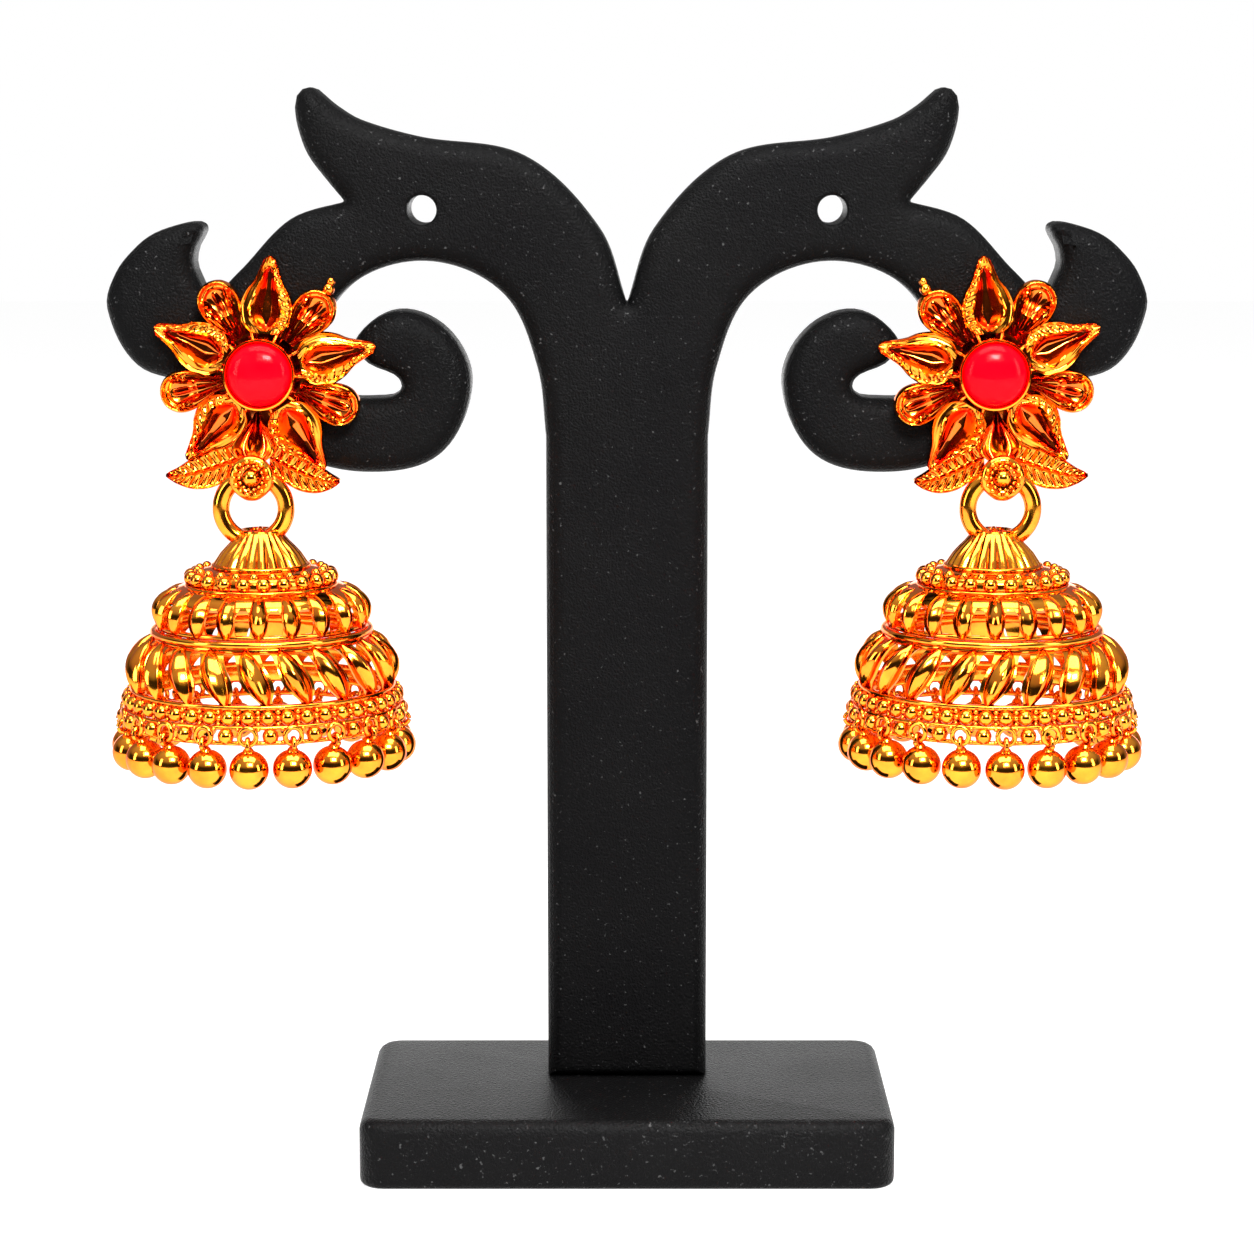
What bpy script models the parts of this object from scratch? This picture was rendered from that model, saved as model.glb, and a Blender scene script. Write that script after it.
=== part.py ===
"""A pair of jhumka earrings hung on a plain two-armed display stand.

Metres, +Z up. The origin is the centre of the base's underside, the front of the stand faces -Y,
and left and right are as seen from the front.
"""

import math

import bmesh
import bpy
from mathutils import Matrix, Vector

MM = 0.001

# Fits
GAP = 0.3 * MM

# Stand
BASE_WIDTH = 54.8 * MM
BASE_DEPTH = 31.2 * MM
BASE_THICKNESS = 7.1 * MM
BASE_CORNER = 2.6 * MM
BASE_EDGE = 1.4 * MM
STAND_HEIGHT = 111.0 * MM
SPRING_HEIGHT = 75.4 * MM
SCROLL_HALF_SPAN = 53.5 * MM
POST_HALF_WIDTH = 8.4 * MM
TREE_THICKNESS = 8.0 * MM
TREE_EDGE = 1.3 * MM
TENON_HALF_WIDTH = 6.0 * MM
TENON_DEPTH = 4.0 * MM
TENON_SHOULDER = 1.6 * MM
SPARE_HOLE = 3.0 * MM

# Stud
STUD_ACROSS = 0.697
STUD_UP = 0.191
EAR_PIN = 0.9 * MM
EAR_PIN_TAIL = 2.6 * MM
CLUTCH_RADIUS = 2.6 * MM
CLUTCH_THICKNESS = 1.4 * MM
FLOWER_PLATE = 0.9 * MM
PLATE_RADIUS = 6.2 * MM
FLOWER_ROLL = math.radians(5)
POINTED_LENGTH = 11.9 * MM
POINTED_HALF_WIDTH = 2.6 * MM
ROUND_LENGTH = 10.5 * MM
ROUND_HALF_WIDTH = 2.3 * MM
LOBE_LENGTH = 8.9 * MM
LOBE_HALF_WIDTH = 1.9 * MM
PETAL_RISE = 1.5 * MM
PETAL_TILT = math.radians(7)
PETAL_LEVEL = 1.5 * MM
BACK_STEP = 0.05 * MM
LEAF_BACK_STEPS = {-1: 4, 1: 6}
LEAF_LENGTH = 9.6 * MM
LEAF_HALF_WIDTH = 1.6 * MM
LEAF_LEVEL = 0.7 * MM
LEAF_TILT = math.radians(-2)
LEAF_START = 0.5 * MM
LEAF_RAISED = 1.3 * MM
STEM_HEIGHT = 2.2 * MM
BEZEL_FRONT = 4.9 * MM
BEZEL_WALL = 0.4 * MM
STONE_RADIUS = 3.2 * MM
STONE_SEAT = 3.4 * MM
STONE_RISE = 1.5 * MM
ROSETTE_RADIUS = 2.25 * MM
ROSETTE_THICKNESS = 1.4 * MM

# Hanger ring and its two eyes
HANG_OUTWARD = 0.8 * MM
HANG_FORWARD = 4.2 * MM
HANG_DROP = 10.3 * MM
RING_RADIUS = 3.32 * MM
RING_WIRE = 1.75 * MM
EYE_WIRE = 0.7 * MM

# Bell, with its heights taken down from the crown's top
BELL_RADIUS = 14.75 * MM
BELL_HEIGHT = 19.6 * MM
BELL_INWARD = 0.9 * MM
BELL_WALL = 0.7 * MM
CROWN_TOP_BELOW_RING = 2.3 * MM
SECTORS = 20
GAP_SHARE = 0.42
TIER_SLANT = math.radians(11)
FLUTE_DEPTH = 0.07
SCALLOP = 0.045

# Drops round the rim
DROP_RADIUS = 1.85 * MM
DROP_WIRE = 0.5 * MM
DROP_LOOP_TURN = math.radians(27)
DROP_LOOP_STRETCH = 1.6
DROP_INSET = 1.1 * MM
DROP_BELOW = 2.7 * MM

BLACK = (0.012, 0.012, 0.013, 1.0)
GOLD = (0.95, 0.55, 0.12, 1.0)
RED = (0.75, 0.01, 0.02, 1.0)
STEEL = (0.75, 0.7, 0.6, 1.0)

# Half of the stand's outline, from the post's shoulder round to the notch at the top.
# Columns: share of the half span, share of the height over the spring line, sharp corner or not.
SCROLL_KNOTS = (
    (0.157, 0.000, False),
    (0.173, 0.199, False),
    (0.236, 0.409, False),
    (0.372, 0.504, False),
    (0.516, 0.452, False),
    (0.591, 0.290, False),
    (0.557, 0.129, False),
    (0.472, 0.110, False),
    (0.440, 0.126, False),
    (0.438, 0.163, False),
    (0.465, 0.188, False),
    (0.525, 0.275, False),
    (0.443, 0.362, False),
    (0.345, 0.302, False),
    (0.301, 0.144, False),
    (0.364, -0.056, False),
    (0.511, -0.106, False),
    (0.666, -0.041, False),
    (0.829, 0.141, False),
    (0.944, 0.205, False),
    (1.000, 0.368, False),
    (0.939, 0.550, False),
    (0.834, 0.617, True),
    (0.838, 0.500, False),
    (0.800, 0.412, False),
    (0.747, 0.472, False),
    (0.645, 0.625, False),
    (0.533, 0.671, True),
    (0.612, 0.800, False),
    (0.638, 0.950, False),
    (0.611, 1.000, True),
    (0.512, 0.906, False),
    (0.400, 0.860, False),
    (0.198, 0.806, False),
    (0.052, 0.596, False),
    (0.000, 0.380, True),
)
SPARE_HOLE_SHARE = (0.3915, 0.6526)
OUTLINE_STEP = 4.4 * MM
# The most that an edge's rounding takes of a narrow part's width, on each side
NARROW_SHARE = 0.3
BALL_LATITUDES = (-55, 0, 60)

# The bell's wall, crown top to rim. Columns: share of the radius, share of the height down from
# the crown's top, how the row is used, and how far the sectors are turned by the slant there.
BELL_ROWS = (
    (0.170, 0.005, "flute", 0.41),
    (0.332, 0.170, "flute", 0.41),
    (0.500, 0.205, "plain", 0.41),
    (0.530, 0.297, "plain", 0.41),
    (0.685, 0.333, "window", 0.41),
    (0.746, 0.463, "under window", 0.41),
    (0.742, 0.486, "plain", 0.56),
    (0.770, 0.525, "plain", 0.76),
    (0.854, 0.581, "window", 1.0),
    (0.929, 0.769, "under window", 0.06),
    (0.922, 0.813, "plain", 0.0),
    (0.963, 0.831, "plain", 0.0),
    (0.970, 0.902, "plain", 0.0),
    (1.000, 0.922, "window", 0.0),
    (1.000, 0.973, "under window", 0.0),
    (1.000, 1.000, "rim", 0.0),
)
# The rows that the inner wall has too, by their place in the list above
INNER_ROWS = (3, 4, 5, 7, 8, 9, 13, 14, 15)

# Cross-section of a petal or leaf. Columns: share of the half width, share of the rise.
PETAL_SECTION = (
    (-1.0, 0.0),
    (-0.85, 1.0),
    (0.0, 0.35),
    (0.85, 1.0),
    (1.0, 0.0),
)
# Outlines of the petals. Columns: share of the length, share of the half width.
POINTED_OUTLINE = ((0.30, 0.42), (0.55, 1.0), (0.80, 0.68), (1.0, 0.08))
ROUND_OUTLINE = ((0.32, 0.38), (0.66, 0.90), (0.86, 1.0), (1.0, 0.42))
LOBE_OUTLINE = ((0.38, 0.20), (0.65, 0.75), (0.82, 1.0), (1.0, 0.15))
LEAF_OUTLINE = ((0.0, 0.60), (0.35, 1.0), (0.72, 0.75), (1.0, 0.08))
# A petal's rise at a point of no width, as a share of its full rise
LEAST_RISE = 0.55
# The small cup under the stone. Columns: share of the radius, share of the thickness.
ROSETTE_PROFILE = ((0.70, 0.0), (1.0, 0.38), (0.85, 0.76), (0.30, 1.0))

POINTED_ANGLES = (90, 18, 162, 234, 306)
ROUND_ANGLES = (126, 54, 198, 342)
LOBE_ANGLE = 270


def clear_scene():
    for old in list(bpy.data.objects):
        bpy.data.objects.remove(old, do_unlink=True)


def material(name, colour, roughness, metallic):
    made = bpy.data.materials.new(name)
    made.use_nodes = True
    shader = made.node_tree.nodes["Principled BSDF"]
    shader.inputs["Base Color"].default_value = colour
    shader.inputs["Roughness"].default_value = roughness
    shader.inputs["Metallic"].default_value = metallic
    return made


def new_object(name, points, faces, look, smooth=True):
    mesh = bpy.data.meshes.new(name)
    mesh.from_pydata([tuple(point) for point in points], [], faces)
    form = bmesh.new()
    form.from_mesh(mesh)
    bmesh.ops.recalc_face_normals(form, faces=form.faces)
    form.to_mesh(mesh)
    form.free()
    if look:
        mesh.materials.append(look)
    if smooth:
        mesh.shade_smooth()
        mesh.set_sharp_from_angle(angle=math.radians(40))
    made = bpy.data.objects.new(name, mesh)
    bpy.context.scene.collection.objects.link(made)
    return made


def guide(made):
    made.hide_render = True
    made.display_type = "WIRE"
    return made


def boolean(target, other, operation, solver="EXACT"):
    """The manifold solver is for the castings and the pierced shell, which the exact one spoils."""
    modifier = target.modifiers.new(operation.lower() + " " + other.name, "BOOLEAN")
    modifier.operation = operation
    modifier.object = guide(other)
    modifier.solver = solver


def apply_modifiers(made):
    """Replaces the object's mesh by its evaluated mesh, and deletes the guides that it used."""
    bpy.context.view_layer.update()
    graph = bpy.context.evaluated_depsgraph_get()
    finished = bpy.data.meshes.new_from_object(made.evaluated_get(graph))
    guides = [modifier.object for modifier in made.modifiers if modifier.type == "BOOLEAN"]
    made.modifiers.clear()
    made.data = finished
    finished.name = made.name
    for old in guides:
        bpy.data.objects.remove(old, do_unlink=True)


def bridge(first, second):
    """Faces between two rings of point numbers of equal length."""
    count = len(first)
    return [
        (first[i], first[(i + 1) % count], second[(i + 1) % count], second[i]) for i in range(count)
    ]


def loft(rings):
    """Points and faces of a closed body through rings of equal length, with flat ends."""
    count = len(rings[0])
    points = [point for ring in rings for point in ring]
    numbers = [list(range(i * count, (i + 1) * count)) for i in range(len(rings))]
    faces = [tuple(numbers[0][::-1]), tuple(numbers[-1])]
    for first, second in zip(numbers, numbers[1:]):
        faces += bridge(first, second)
    return points, faces


def turned(profile, sides, axis=Matrix.Identity(4)):
    """A closed turned body: a profile of (radius, height) pairs from bottom to top."""
    rings = []
    for radius, height in profile:
        ring = []
        for i in range(sides):
            angle = 2 * math.pi * i / sides
            ring.append(axis @ Vector((radius * math.cos(angle), radius * math.sin(angle), height)))
        rings.append(ring)
    return loft(rings)


def torus(radius, wire, sides, wire_sides, axis):
    """A round link: its axis of turning is the matrix's Z."""
    points = []
    for i in range(sides):
        around = 2 * math.pi * i / sides
        for j in range(wire_sides):
            across = 2 * math.pi * j / wire_sides
            reach = radius + wire * math.cos(across)
            local = (reach * math.cos(around), reach * math.sin(around), wire * math.sin(across))
            points.append(axis @ Vector(local))
    faces = []
    for i in range(sides):
        here = [i * wire_sides + j for j in range(wire_sides)]
        there = [(i + 1) % sides * wire_sides + j for j in range(wire_sides)]
        faces += bridge(here, there)
    return points, faces


FACING_FRONT = Matrix.Rotation(math.pi / 2, 4, "X")
FACING_SIDE = Matrix.Rotation(math.pi / 2, 4, "Y")


def smooth_points(knots, step_length):
    """Points of a smooth curve through (across, up, corner) knots, with breaks at the corners."""
    found = []
    for i in range(len(knots) - 1):
        start = Vector(knots[i][:2])
        end = Vector(knots[i + 1][:2])
        before = start if i == 0 or knots[i][2] else Vector(knots[i - 1][:2])
        after = end if i + 2 >= len(knots) or knots[i + 1][2] else Vector(knots[i + 2][:2])
        reach = (end - start).length / 3
        leave = (end - before).normalized() * reach
        arrive = (after - start).normalized() * reach
        steps = max(1, round((end - start).length / step_length))
        for step in range(steps):
            share = step / steps
            rest = 1 - share
            found.append(
                start * rest**3
                + (start + leave) * (3 * rest**2 * share)
                + (end - arrive) * (3 * rest * share**2)
                + end * share**3
            )
    found.append(Vector(knots[-1][:2]))
    return found


def scroll_half():
    rise = STAND_HEIGHT - SPRING_HEIGHT
    knots = [
        (across * SCROLL_HALF_SPAN, SPRING_HEIGHT + up * rise, corner)
        for across, up, corner in SCROLL_KNOTS
    ]
    return smooth_points(knots, OUTLINE_STEP)


def tree_outline():
    """The stand's front outline, anticlockwise as seen from the front, tenon left out."""
    foot = Vector((POST_HALF_WIDTH, BASE_THICKNESS + GAP))
    right = [foot] + scroll_half()
    left = [Vector((-point.x, point.y)) for point in reversed(right[:-1])]
    return right + left


def room_inward(outline, i, normal):
    """How far the outline's opposite side lies along the inward normal of one of its points."""
    nearest = STAND_HEIGHT
    start = outline[i]
    count = len(outline)
    for j in range(count):
        if j in (i, (i - 1) % count):
            continue
        a = outline[j]
        edge = outline[(j + 1) % count] - a
        across = normal.x * edge.y - normal.y * edge.x
        if abs(across) < 1e-12:
            continue
        offset = a - start
        along = (offset.x * edge.y - offset.y * edge.x) / across
        share = (offset.x * normal.y - offset.y * normal.x) / across
        if along > 1e-6 and -1e-6 <= share <= 1 + 1e-6:
            nearest = min(nearest, along)
    return nearest


def inset(outline, depth):
    """The outline moved inward, by less where the shape is narrow."""
    moved = []
    count = len(outline)
    for i in range(count):
        into = (outline[i] - outline[i - 1]).normalized()
        out = (outline[(i + 1) % count] - outline[i]).normalized()
        heading = into + out
        normal = Vector((-heading.y, heading.x)).normalized()
        room = room_inward(outline, i, normal)
        moved.append(outline[i] + normal * min(depth, NARROW_SHARE * room))
    return moved


def hole_cutter(name, radius, across, up):
    axis = Matrix.Translation((across, TREE_THICKNESS / 2, up)) @ FACING_FRONT
    reach = TREE_THICKNESS
    points, faces = turned(((radius, -reach), (radius, reach)), 10, axis)
    return new_object(name, points, faces, None, smooth=False)


def make_tree(look):
    outline = tree_outline()
    inner = inset(outline, TREE_EDGE)
    layers = (
        (inner, 0.0),
        (outline, TREE_EDGE),
        (outline, TREE_THICKNESS - TREE_EDGE),
        (inner, TREE_THICKNESS),
    )
    rings = [[Vector((p.x, depth, p.y)) for p in ring] for ring, depth in layers]
    points, faces = loft(rings)
    tree = new_object("stand_tree", points, faces, look)
    tenon = new_box(
        "tenon",
        (-TENON_HALF_WIDTH, TENON_SHOULDER, BASE_THICKNESS - TENON_DEPTH),
        (TENON_HALF_WIDTH, TREE_THICKNESS - TENON_SHOULDER, BASE_THICKNESS + TENON_SHOULDER),
    )
    boolean(tree, tenon, "UNION")
    rise = STAND_HEIGHT - SPRING_HEIGHT
    across, up = SPARE_HOLE_SHARE
    for side in (-1, 1):
        spare = hole_cutter(
            "spare hole", SPARE_HOLE / 2, side * across * SCROLL_HALF_SPAN, SPRING_HEIGHT + up * rise
        )
        boolean(tree, spare, "DIFFERENCE")
        stud_x, stud_z = stud_place(side)
        boolean(tree, hole_cutter("pin hole", EAR_PIN / 2 + GAP, stud_x, stud_z), "DIFFERENCE")
    apply_modifiers(tree)
    return tree


def new_box(name, low, high):
    rings = []
    for z in (low[2], high[2]):
        ring = ((low[0], low[1]), (high[0], low[1]), (high[0], high[1]), (low[0], high[1]))
        rings.append([Vector((x, y, z)) for x, y in ring])
    points, faces = loft(rings)
    return new_object(name, points, faces, None, smooth=False)


def rounded_rectangle(half_width, half_depth, corner):
    ring = []
    for quarter in range(4):
        towards = quarter * math.pi / 2 + math.pi / 4
        centre = Vector(
            (
                math.copysign(half_width - corner, math.cos(towards)),
                math.copysign(half_depth - corner, math.sin(towards)),
            )
        )
        for step in range(4):
            angle = (quarter + step / 3) * math.pi / 2
            ring.append(centre + corner * Vector((math.cos(angle), math.sin(angle))))
    return ring


def make_base(look):
    rings = []
    for height, inward in (
        (0.0, BASE_EDGE / 2),
        (BASE_EDGE / 2, 0.0),
        (BASE_THICKNESS - BASE_EDGE, 0.0),
        (BASE_THICKNESS, BASE_EDGE),
    ):
        ring = rounded_rectangle(
            BASE_WIDTH / 2 - inward, BASE_DEPTH / 2 - inward, BASE_CORNER - inward
        )
        rings.append([Vector((p.x, p.y, height)) for p in ring])
    points, faces = loft(rings)
    base = new_object("stand_base", points, faces, look)
    mortise = new_box(
        "mortise",
        (-TENON_HALF_WIDTH - GAP, TENON_SHOULDER - GAP, BASE_THICKNESS - TENON_DEPTH - GAP),
        (
            TENON_HALF_WIDTH + GAP,
            TREE_THICKNESS - TENON_SHOULDER + GAP,
            BASE_THICKNESS + TENON_SHOULDER,
        ),
    )
    boolean(base, mortise, "DIFFERENCE")
    apply_modifiers(base)
    return base


def stud_place(side):
    rise = STAND_HEIGHT - SPRING_HEIGHT
    return side * STUD_ACROSS * SCROLL_HALF_SPAN, SPRING_HEIGHT + STUD_UP * rise


def hang_place(side):
    """Centre of the top wire of the hanger ring, where the earring swings."""
    stud_x, stud_z = stud_place(side)
    return Vector((stud_x + side * HANG_OUTWARD, -HANG_FORWARD, stud_z - HANG_DROP))


def petal(outline, length, half_width, angle, level, tilt, back):
    """A petal with a flat back and a hollow front, lying in the flower's plane."""
    rings = []
    for along, across in outline:
        ring = []
        for side_share, rise_share in PETAL_SECTION:
            reach = along * length
            side = side_share * across * half_width
            rise = rise_share * PETAL_RISE * (LEAST_RISE + (1 - LEAST_RISE) * across)
            height = level - reach * math.tan(tilt) + rise
            ring.append(Vector((reach, side, height if rise_share else back)))
        rings.append(ring)
    points, faces = loft(rings)
    turn = Matrix.Rotation(angle, 4, "Z")
    return [turn @ point for point in points], faces


def flower_parts():
    """Points and faces of the stud's cast pieces, in the flower's own plane: X across, Y up,
    Z towards the front, for the right-hand earring."""
    parts = []
    plate = (
        (PLATE_RADIUS, GAP),
        (PLATE_RADIUS, GAP + FLOWER_PLATE),
        (STONE_RADIUS, PETAL_LEVEL + PETAL_RISE),
    )
    parts.append(turned(plate, 12))
    pointed = (POINTED_OUTLINE, POINTED_LENGTH, POINTED_HALF_WIDTH)
    rounded = (ROUND_OUTLINE, ROUND_LENGTH, ROUND_HALF_WIDTH)
    lobe = (LOBE_OUTLINE, LOBE_LENGTH, LOBE_HALF_WIDTH)
    low = PETAL_LEVEL - PETAL_RISE / 3
    petals = [(pointed, angle, PETAL_LEVEL, PETAL_TILT, GAP + BACK_STEP) for angle in POINTED_ANGLES]
    petals += [(rounded, angle, low, PETAL_TILT / 2, GAP + 2 * BACK_STEP) for angle in ROUND_ANGLES]
    petals.append((lobe, LOBE_ANGLE, PETAL_LEVEL, PETAL_TILT, GAP + 3 * BACK_STEP))
    for form, angle, level, tilt, back in petals:
        parts.append(petal(*form, math.radians(angle) + FLOWER_ROLL, level, tilt, back))
    return parts


def make_flower(side, name, look):
    x, z = stud_place(side)
    mirror = Matrix.Diagonal((side, 1, 1, 1))
    place = Matrix.Translation((x, 0, z)) @ mirror @ FACING_FRONT
    pivot = hang_place(side)
    bodies = [([place @ p for p in points], faces) for points, faces in flower_parts()]

    for turn in (-1, 1):
        start = Matrix.Translation((pivot.x + side * turn * LEAF_START, 0, pivot.z + LEAF_RAISED))
        aim = math.pi / 2 - side * turn * (math.pi / 2 + LEAF_TILT)
        back = GAP + LEAF_BACK_STEPS[turn] * BACK_STEP
        leaf, faces = petal(LEAF_OUTLINE, LEAF_LENGTH, LEAF_HALF_WIDTH, aim, LEAF_LEVEL, 0, back)
        bodies.append(([start @ FACING_FRONT @ p for p in leaf], faces))

    bezel_axis = Matrix.Translation((x, 0, z)) @ FACING_FRONT
    inner = STONE_RADIUS + GAP / 2
    bezel = (
        (inner + BEZEL_WALL, GAP + FLOWER_PLATE / 2),
        (inner + BEZEL_WALL, BEZEL_FRONT),
        (inner, BEZEL_FRONT),
        (inner, STONE_SEAT),
    )
    bodies.append(turned(bezel, 12, bezel_axis))

    eye_radius = RING_WIRE / 2 + GAP + EYE_WIRE / 2
    eye_axis = Matrix.Translation(pivot) @ FACING_SIDE
    bodies.append(torus(eye_radius, EYE_WIRE / 2, 10, 5, eye_axis))

    rosette_back = HANG_FORWARD + RING_WIRE / 2 + GAP
    rosette = [
        (share * ROSETTE_RADIUS, rosette_back + forward * ROSETTE_THICKNESS)
        for share, forward in ROSETTE_PROFILE
    ]
    rosette_axis = Matrix.Translation((pivot.x, 0, pivot.z)) @ FACING_FRONT
    bodies.append(turned(rosette, 10, rosette_axis))

    stem_low = pivot.z + eye_radius - EYE_WIRE / 4
    stem = []
    for low, half in ((stem_low, EYE_WIRE), (stem_low + STEM_HEIGHT, 2 * EYE_WIRE)):
        front = rosette_back + ROSETTE_THICKNESS * 0.4
        back = GAP + FLOWER_PLATE / 3
        corner = ((-half, -front), (half, -front), (half, -back), (-half, -back))
        stem.append([Vector((pivot.x + dx, y, low)) for dx, y in corner])
    bodies.append(loft(stem))

    flower = None
    for i, (points, faces) in enumerate(bodies):
        if i == 0:
            flower = new_object(name, points, faces, look)
        else:
            piece = new_object("%s piece %d" % (name, i), points, faces, None)
            boolean(flower, piece, "UNION", "MANIFOLD")
    apply_modifiers(flower)
    return flower


def make_stone(side, name, look):
    x, z = stud_place(side)
    axis = Matrix.Translation((x, 0, z)) @ FACING_FRONT
    low = STONE_SEAT + GAP
    rim = BEZEL_FRONT - GAP
    profile = [(STONE_RADIUS, low), (STONE_RADIUS, rim)]
    for step in range(1, 3):
        angle = step / 3 * math.pi / 2
        profile.append((STONE_RADIUS * math.cos(angle), rim + STONE_RISE * math.sin(angle)))
    points, faces = turned(profile, 12, axis)
    return new_object(name, points, faces, look)


def make_ear_post(side, name, look):
    x, z = stud_place(side)
    axis = Matrix.Translation((x, 0, z)) @ FACING_FRONT
    behind = -TREE_THICKNESS - GAP
    profile = (
        (EAR_PIN / 2, behind - CLUTCH_THICKNESS - EAR_PIN_TAIL),
        (EAR_PIN / 2, behind - CLUTCH_THICKNESS),
        (CLUTCH_RADIUS, behind - CLUTCH_THICKNESS),
        (CLUTCH_RADIUS, behind),
        (EAR_PIN / 2, behind),
        (EAR_PIN / 2, 0),
    )
    points, faces = turned(profile, 10, axis)
    return new_object(name, points, faces, look)


def make_ring(side, name, look):
    pivot = hang_place(side)
    axis = Matrix.Translation(pivot - Vector((0, 0, RING_RADIUS))) @ FACING_FRONT
    points, faces = torus(RING_RADIUS, RING_WIRE / 2, 14, 6, axis)
    return new_object(name, points, faces, look)


def bell_top(side):
    """Centre of the top of the bell's crown."""
    pivot = hang_place(side)
    return pivot - Vector((side * BELL_INWARD, 0, RING_RADIUS + CROWN_TOP_BELOW_RING))


def bell_angle(row_turn, column, side):
    """Angle of a column line: two lines to a sector, either side of its window."""
    pitch = 2 * math.pi / SECTORS
    sector, edge = divmod(column, 2)
    offset = (-0.5 if edge == 0 else 0.5) * GAP_SHARE * pitch
    return side * (sector * pitch + offset + row_turn * TIER_SLANT)


def bell_ring(row, thickness, side):
    share, down, use, turn = BELL_ROWS[row]
    ring = []
    for column in range(2 * SECTORS):
        radius = share * BELL_RADIUS - thickness
        if use == "flute" and column % 2:
            radius *= 1 - FLUTE_DEPTH
        angle = bell_angle(turn, column, side)
        ring.append(
            Vector((radius * math.cos(angle), radius * math.sin(angle), -down * BELL_HEIGHT))
        )
    return ring


def wall_faces(rows, rings):
    """The faces of one wall: quads between its rings, open at each window."""
    faces = []
    for k in range(len(rows) - 1):
        faces_here = bridge(rings[k], rings[k + 1])
        if BELL_ROWS[rows[k]][2] == "window":
            faces_here = [f for column, f in enumerate(faces_here) if column % 2]
        faces += faces_here
    return faces


def bell_mesh(side):
    """The bell's shell: an outer and an inner wall, joined round each window and at the rim."""
    points = []

    def add(ring):
        points.extend(ring)
        return list(range(len(points) - len(ring), len(points)))

    outer_rows = list(range(len(BELL_ROWS)))
    outer = [add(bell_ring(row, 0.0, side)) for row in outer_rows]
    inner = [add(bell_ring(row, BELL_WALL, side)) for row in INNER_ROWS]
    faces = [tuple(outer[0]), tuple(inner[0])]
    faces += wall_faces(outer_rows[:-1], outer[:-1])
    faces += wall_faces(list(INNER_ROWS[:-1]), inner[:-1])

    for k, row in enumerate(INNER_ROWS[:-1]):
        if BELL_ROWS[row][2] != "window":
            continue
        above = (outer[row], inner[k])
        below = (outer[row + 1], inner[k + 1])
        for column in range(0, 2 * SECTORS, 2):
            after = column + 1
            for wall, lining in (above, below):
                faces.append((wall[column], wall[after], lining[after], lining[column]))
            for edge in (column, after):
                faces.append((above[0][edge], below[0][edge], below[1][edge], above[1][edge]))

    # The rim is scalloped: between two eyelets its edge rises to a middle point
    last = len(BELL_ROWS) - 1
    pitch = 2 * math.pi / SECTORS
    notches = []
    for thickness in (0.0, BELL_WALL):
        share, down, _, turn = BELL_ROWS[last]
        radius = share * BELL_RADIUS - thickness
        ring = []
        for sector in range(SECTORS):
            angle = side * ((sector + 0.5) * pitch + turn * TIER_SLANT)
            height = -(down - SCALLOP) * BELL_HEIGHT
            ring.append(Vector((radius * math.cos(angle), radius * math.sin(angle), height)))
        notches.append(add(ring))
    count = 2 * SECTORS
    for wall, notch in ((outer, notches[0]), (inner, notches[1])):
        above = wall[-2]
        rim = wall[-1]
        for column in range(count):
            after = (column + 1) % count
            if column % 2:
                middle = notch[column // 2]
                faces.append((above[column], above[after], rim[after], middle, rim[column]))
            else:
                faces.append((above[column], above[after], rim[after], rim[column]))
    for column in range(count):
        after = (column + 1) % count
        ends = (outer[-1][column], outer[-1][after], inner[-1][after], inner[-1][column])
        if column % 2:
            across = notches[0][column // 2]
            within = notches[1][column // 2]
            faces.append((ends[0], across, within, ends[3]))
            faces.append((across, ends[1], ends[2], within))
        else:
            faces.append(ends)
    return points, faces


def make_bell(side, name, look):
    top = bell_top(side)
    pivot = hang_place(side)
    points, faces = bell_mesh(side)
    bell = new_object(name, [top + p for p in points], faces, look)
    wire_drop = RING_RADIUS + math.sqrt(RING_RADIUS**2 - BELL_INWARD**2)
    ring_bottom = Vector((top.x, top.y, pivot.z - wire_drop))
    bail_radius = RING_WIRE / 2 + GAP + EYE_WIRE / 2
    bail = torus(bail_radius, EYE_WIRE / 2, 10, 5, Matrix.Translation(ring_bottom) @ FACING_SIDE)
    channel = torus(
        RING_RADIUS,
        RING_WIRE / 2 + GAP,
        14,
        6,
        Matrix.Translation(pivot - Vector((0, 0, RING_RADIUS))) @ FACING_FRONT,
    )
    boolean(bell, new_object(name + " bail", *bail, None), "UNION", "MANIFOLD")
    boolean(bell, new_object(name + " channel", *channel, None), "DIFFERENCE", "MANIFOLD")
    apply_modifiers(bell)
    return bell


def drop_loop_radius():
    """The loop goes round the eyelet's wall, clear of it on both sides."""
    return BELL_WALL / 2 + GAP + DROP_WIRE / 2


def drop_mesh(look):
    """One ball drop with its wire loop. The loop's centre is at the origin, X points outward."""
    ball_centre = Vector((-DROP_INSET, 0, -DROP_BELOW))
    lean = math.atan2(DROP_INSET, DROP_BELOW)
    rings = []
    for latitude in BALL_LATITUDES:
        angle = math.radians(latitude)
        rings.append((DROP_RADIUS * math.cos(angle), DROP_RADIUS * math.sin(angle)))
    axis = Matrix.Translation(ball_centre) @ Matrix.Rotation(lean, 4, "Y")
    points, faces = turned(rings, 10, axis)
    drop = new_object("drop", points, faces, look)
    turn = Matrix.Rotation(DROP_LOOP_TURN, 4, "Z")
    points, faces = torus(drop_loop_radius(), DROP_WIRE / 2, 10, 5, FACING_FRONT @ turn)
    stretch = Matrix.Diagonal((1, 1, DROP_LOOP_STRETCH, 1))
    points = [stretch @ point if point.z < 0 else point for point in points]
    boolean(drop, new_object("drop loop", points, faces, None), "UNION")
    apply_modifiers(drop)
    mesh = drop.data
    bpy.data.objects.remove(drop, do_unlink=True)
    return mesh


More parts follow.
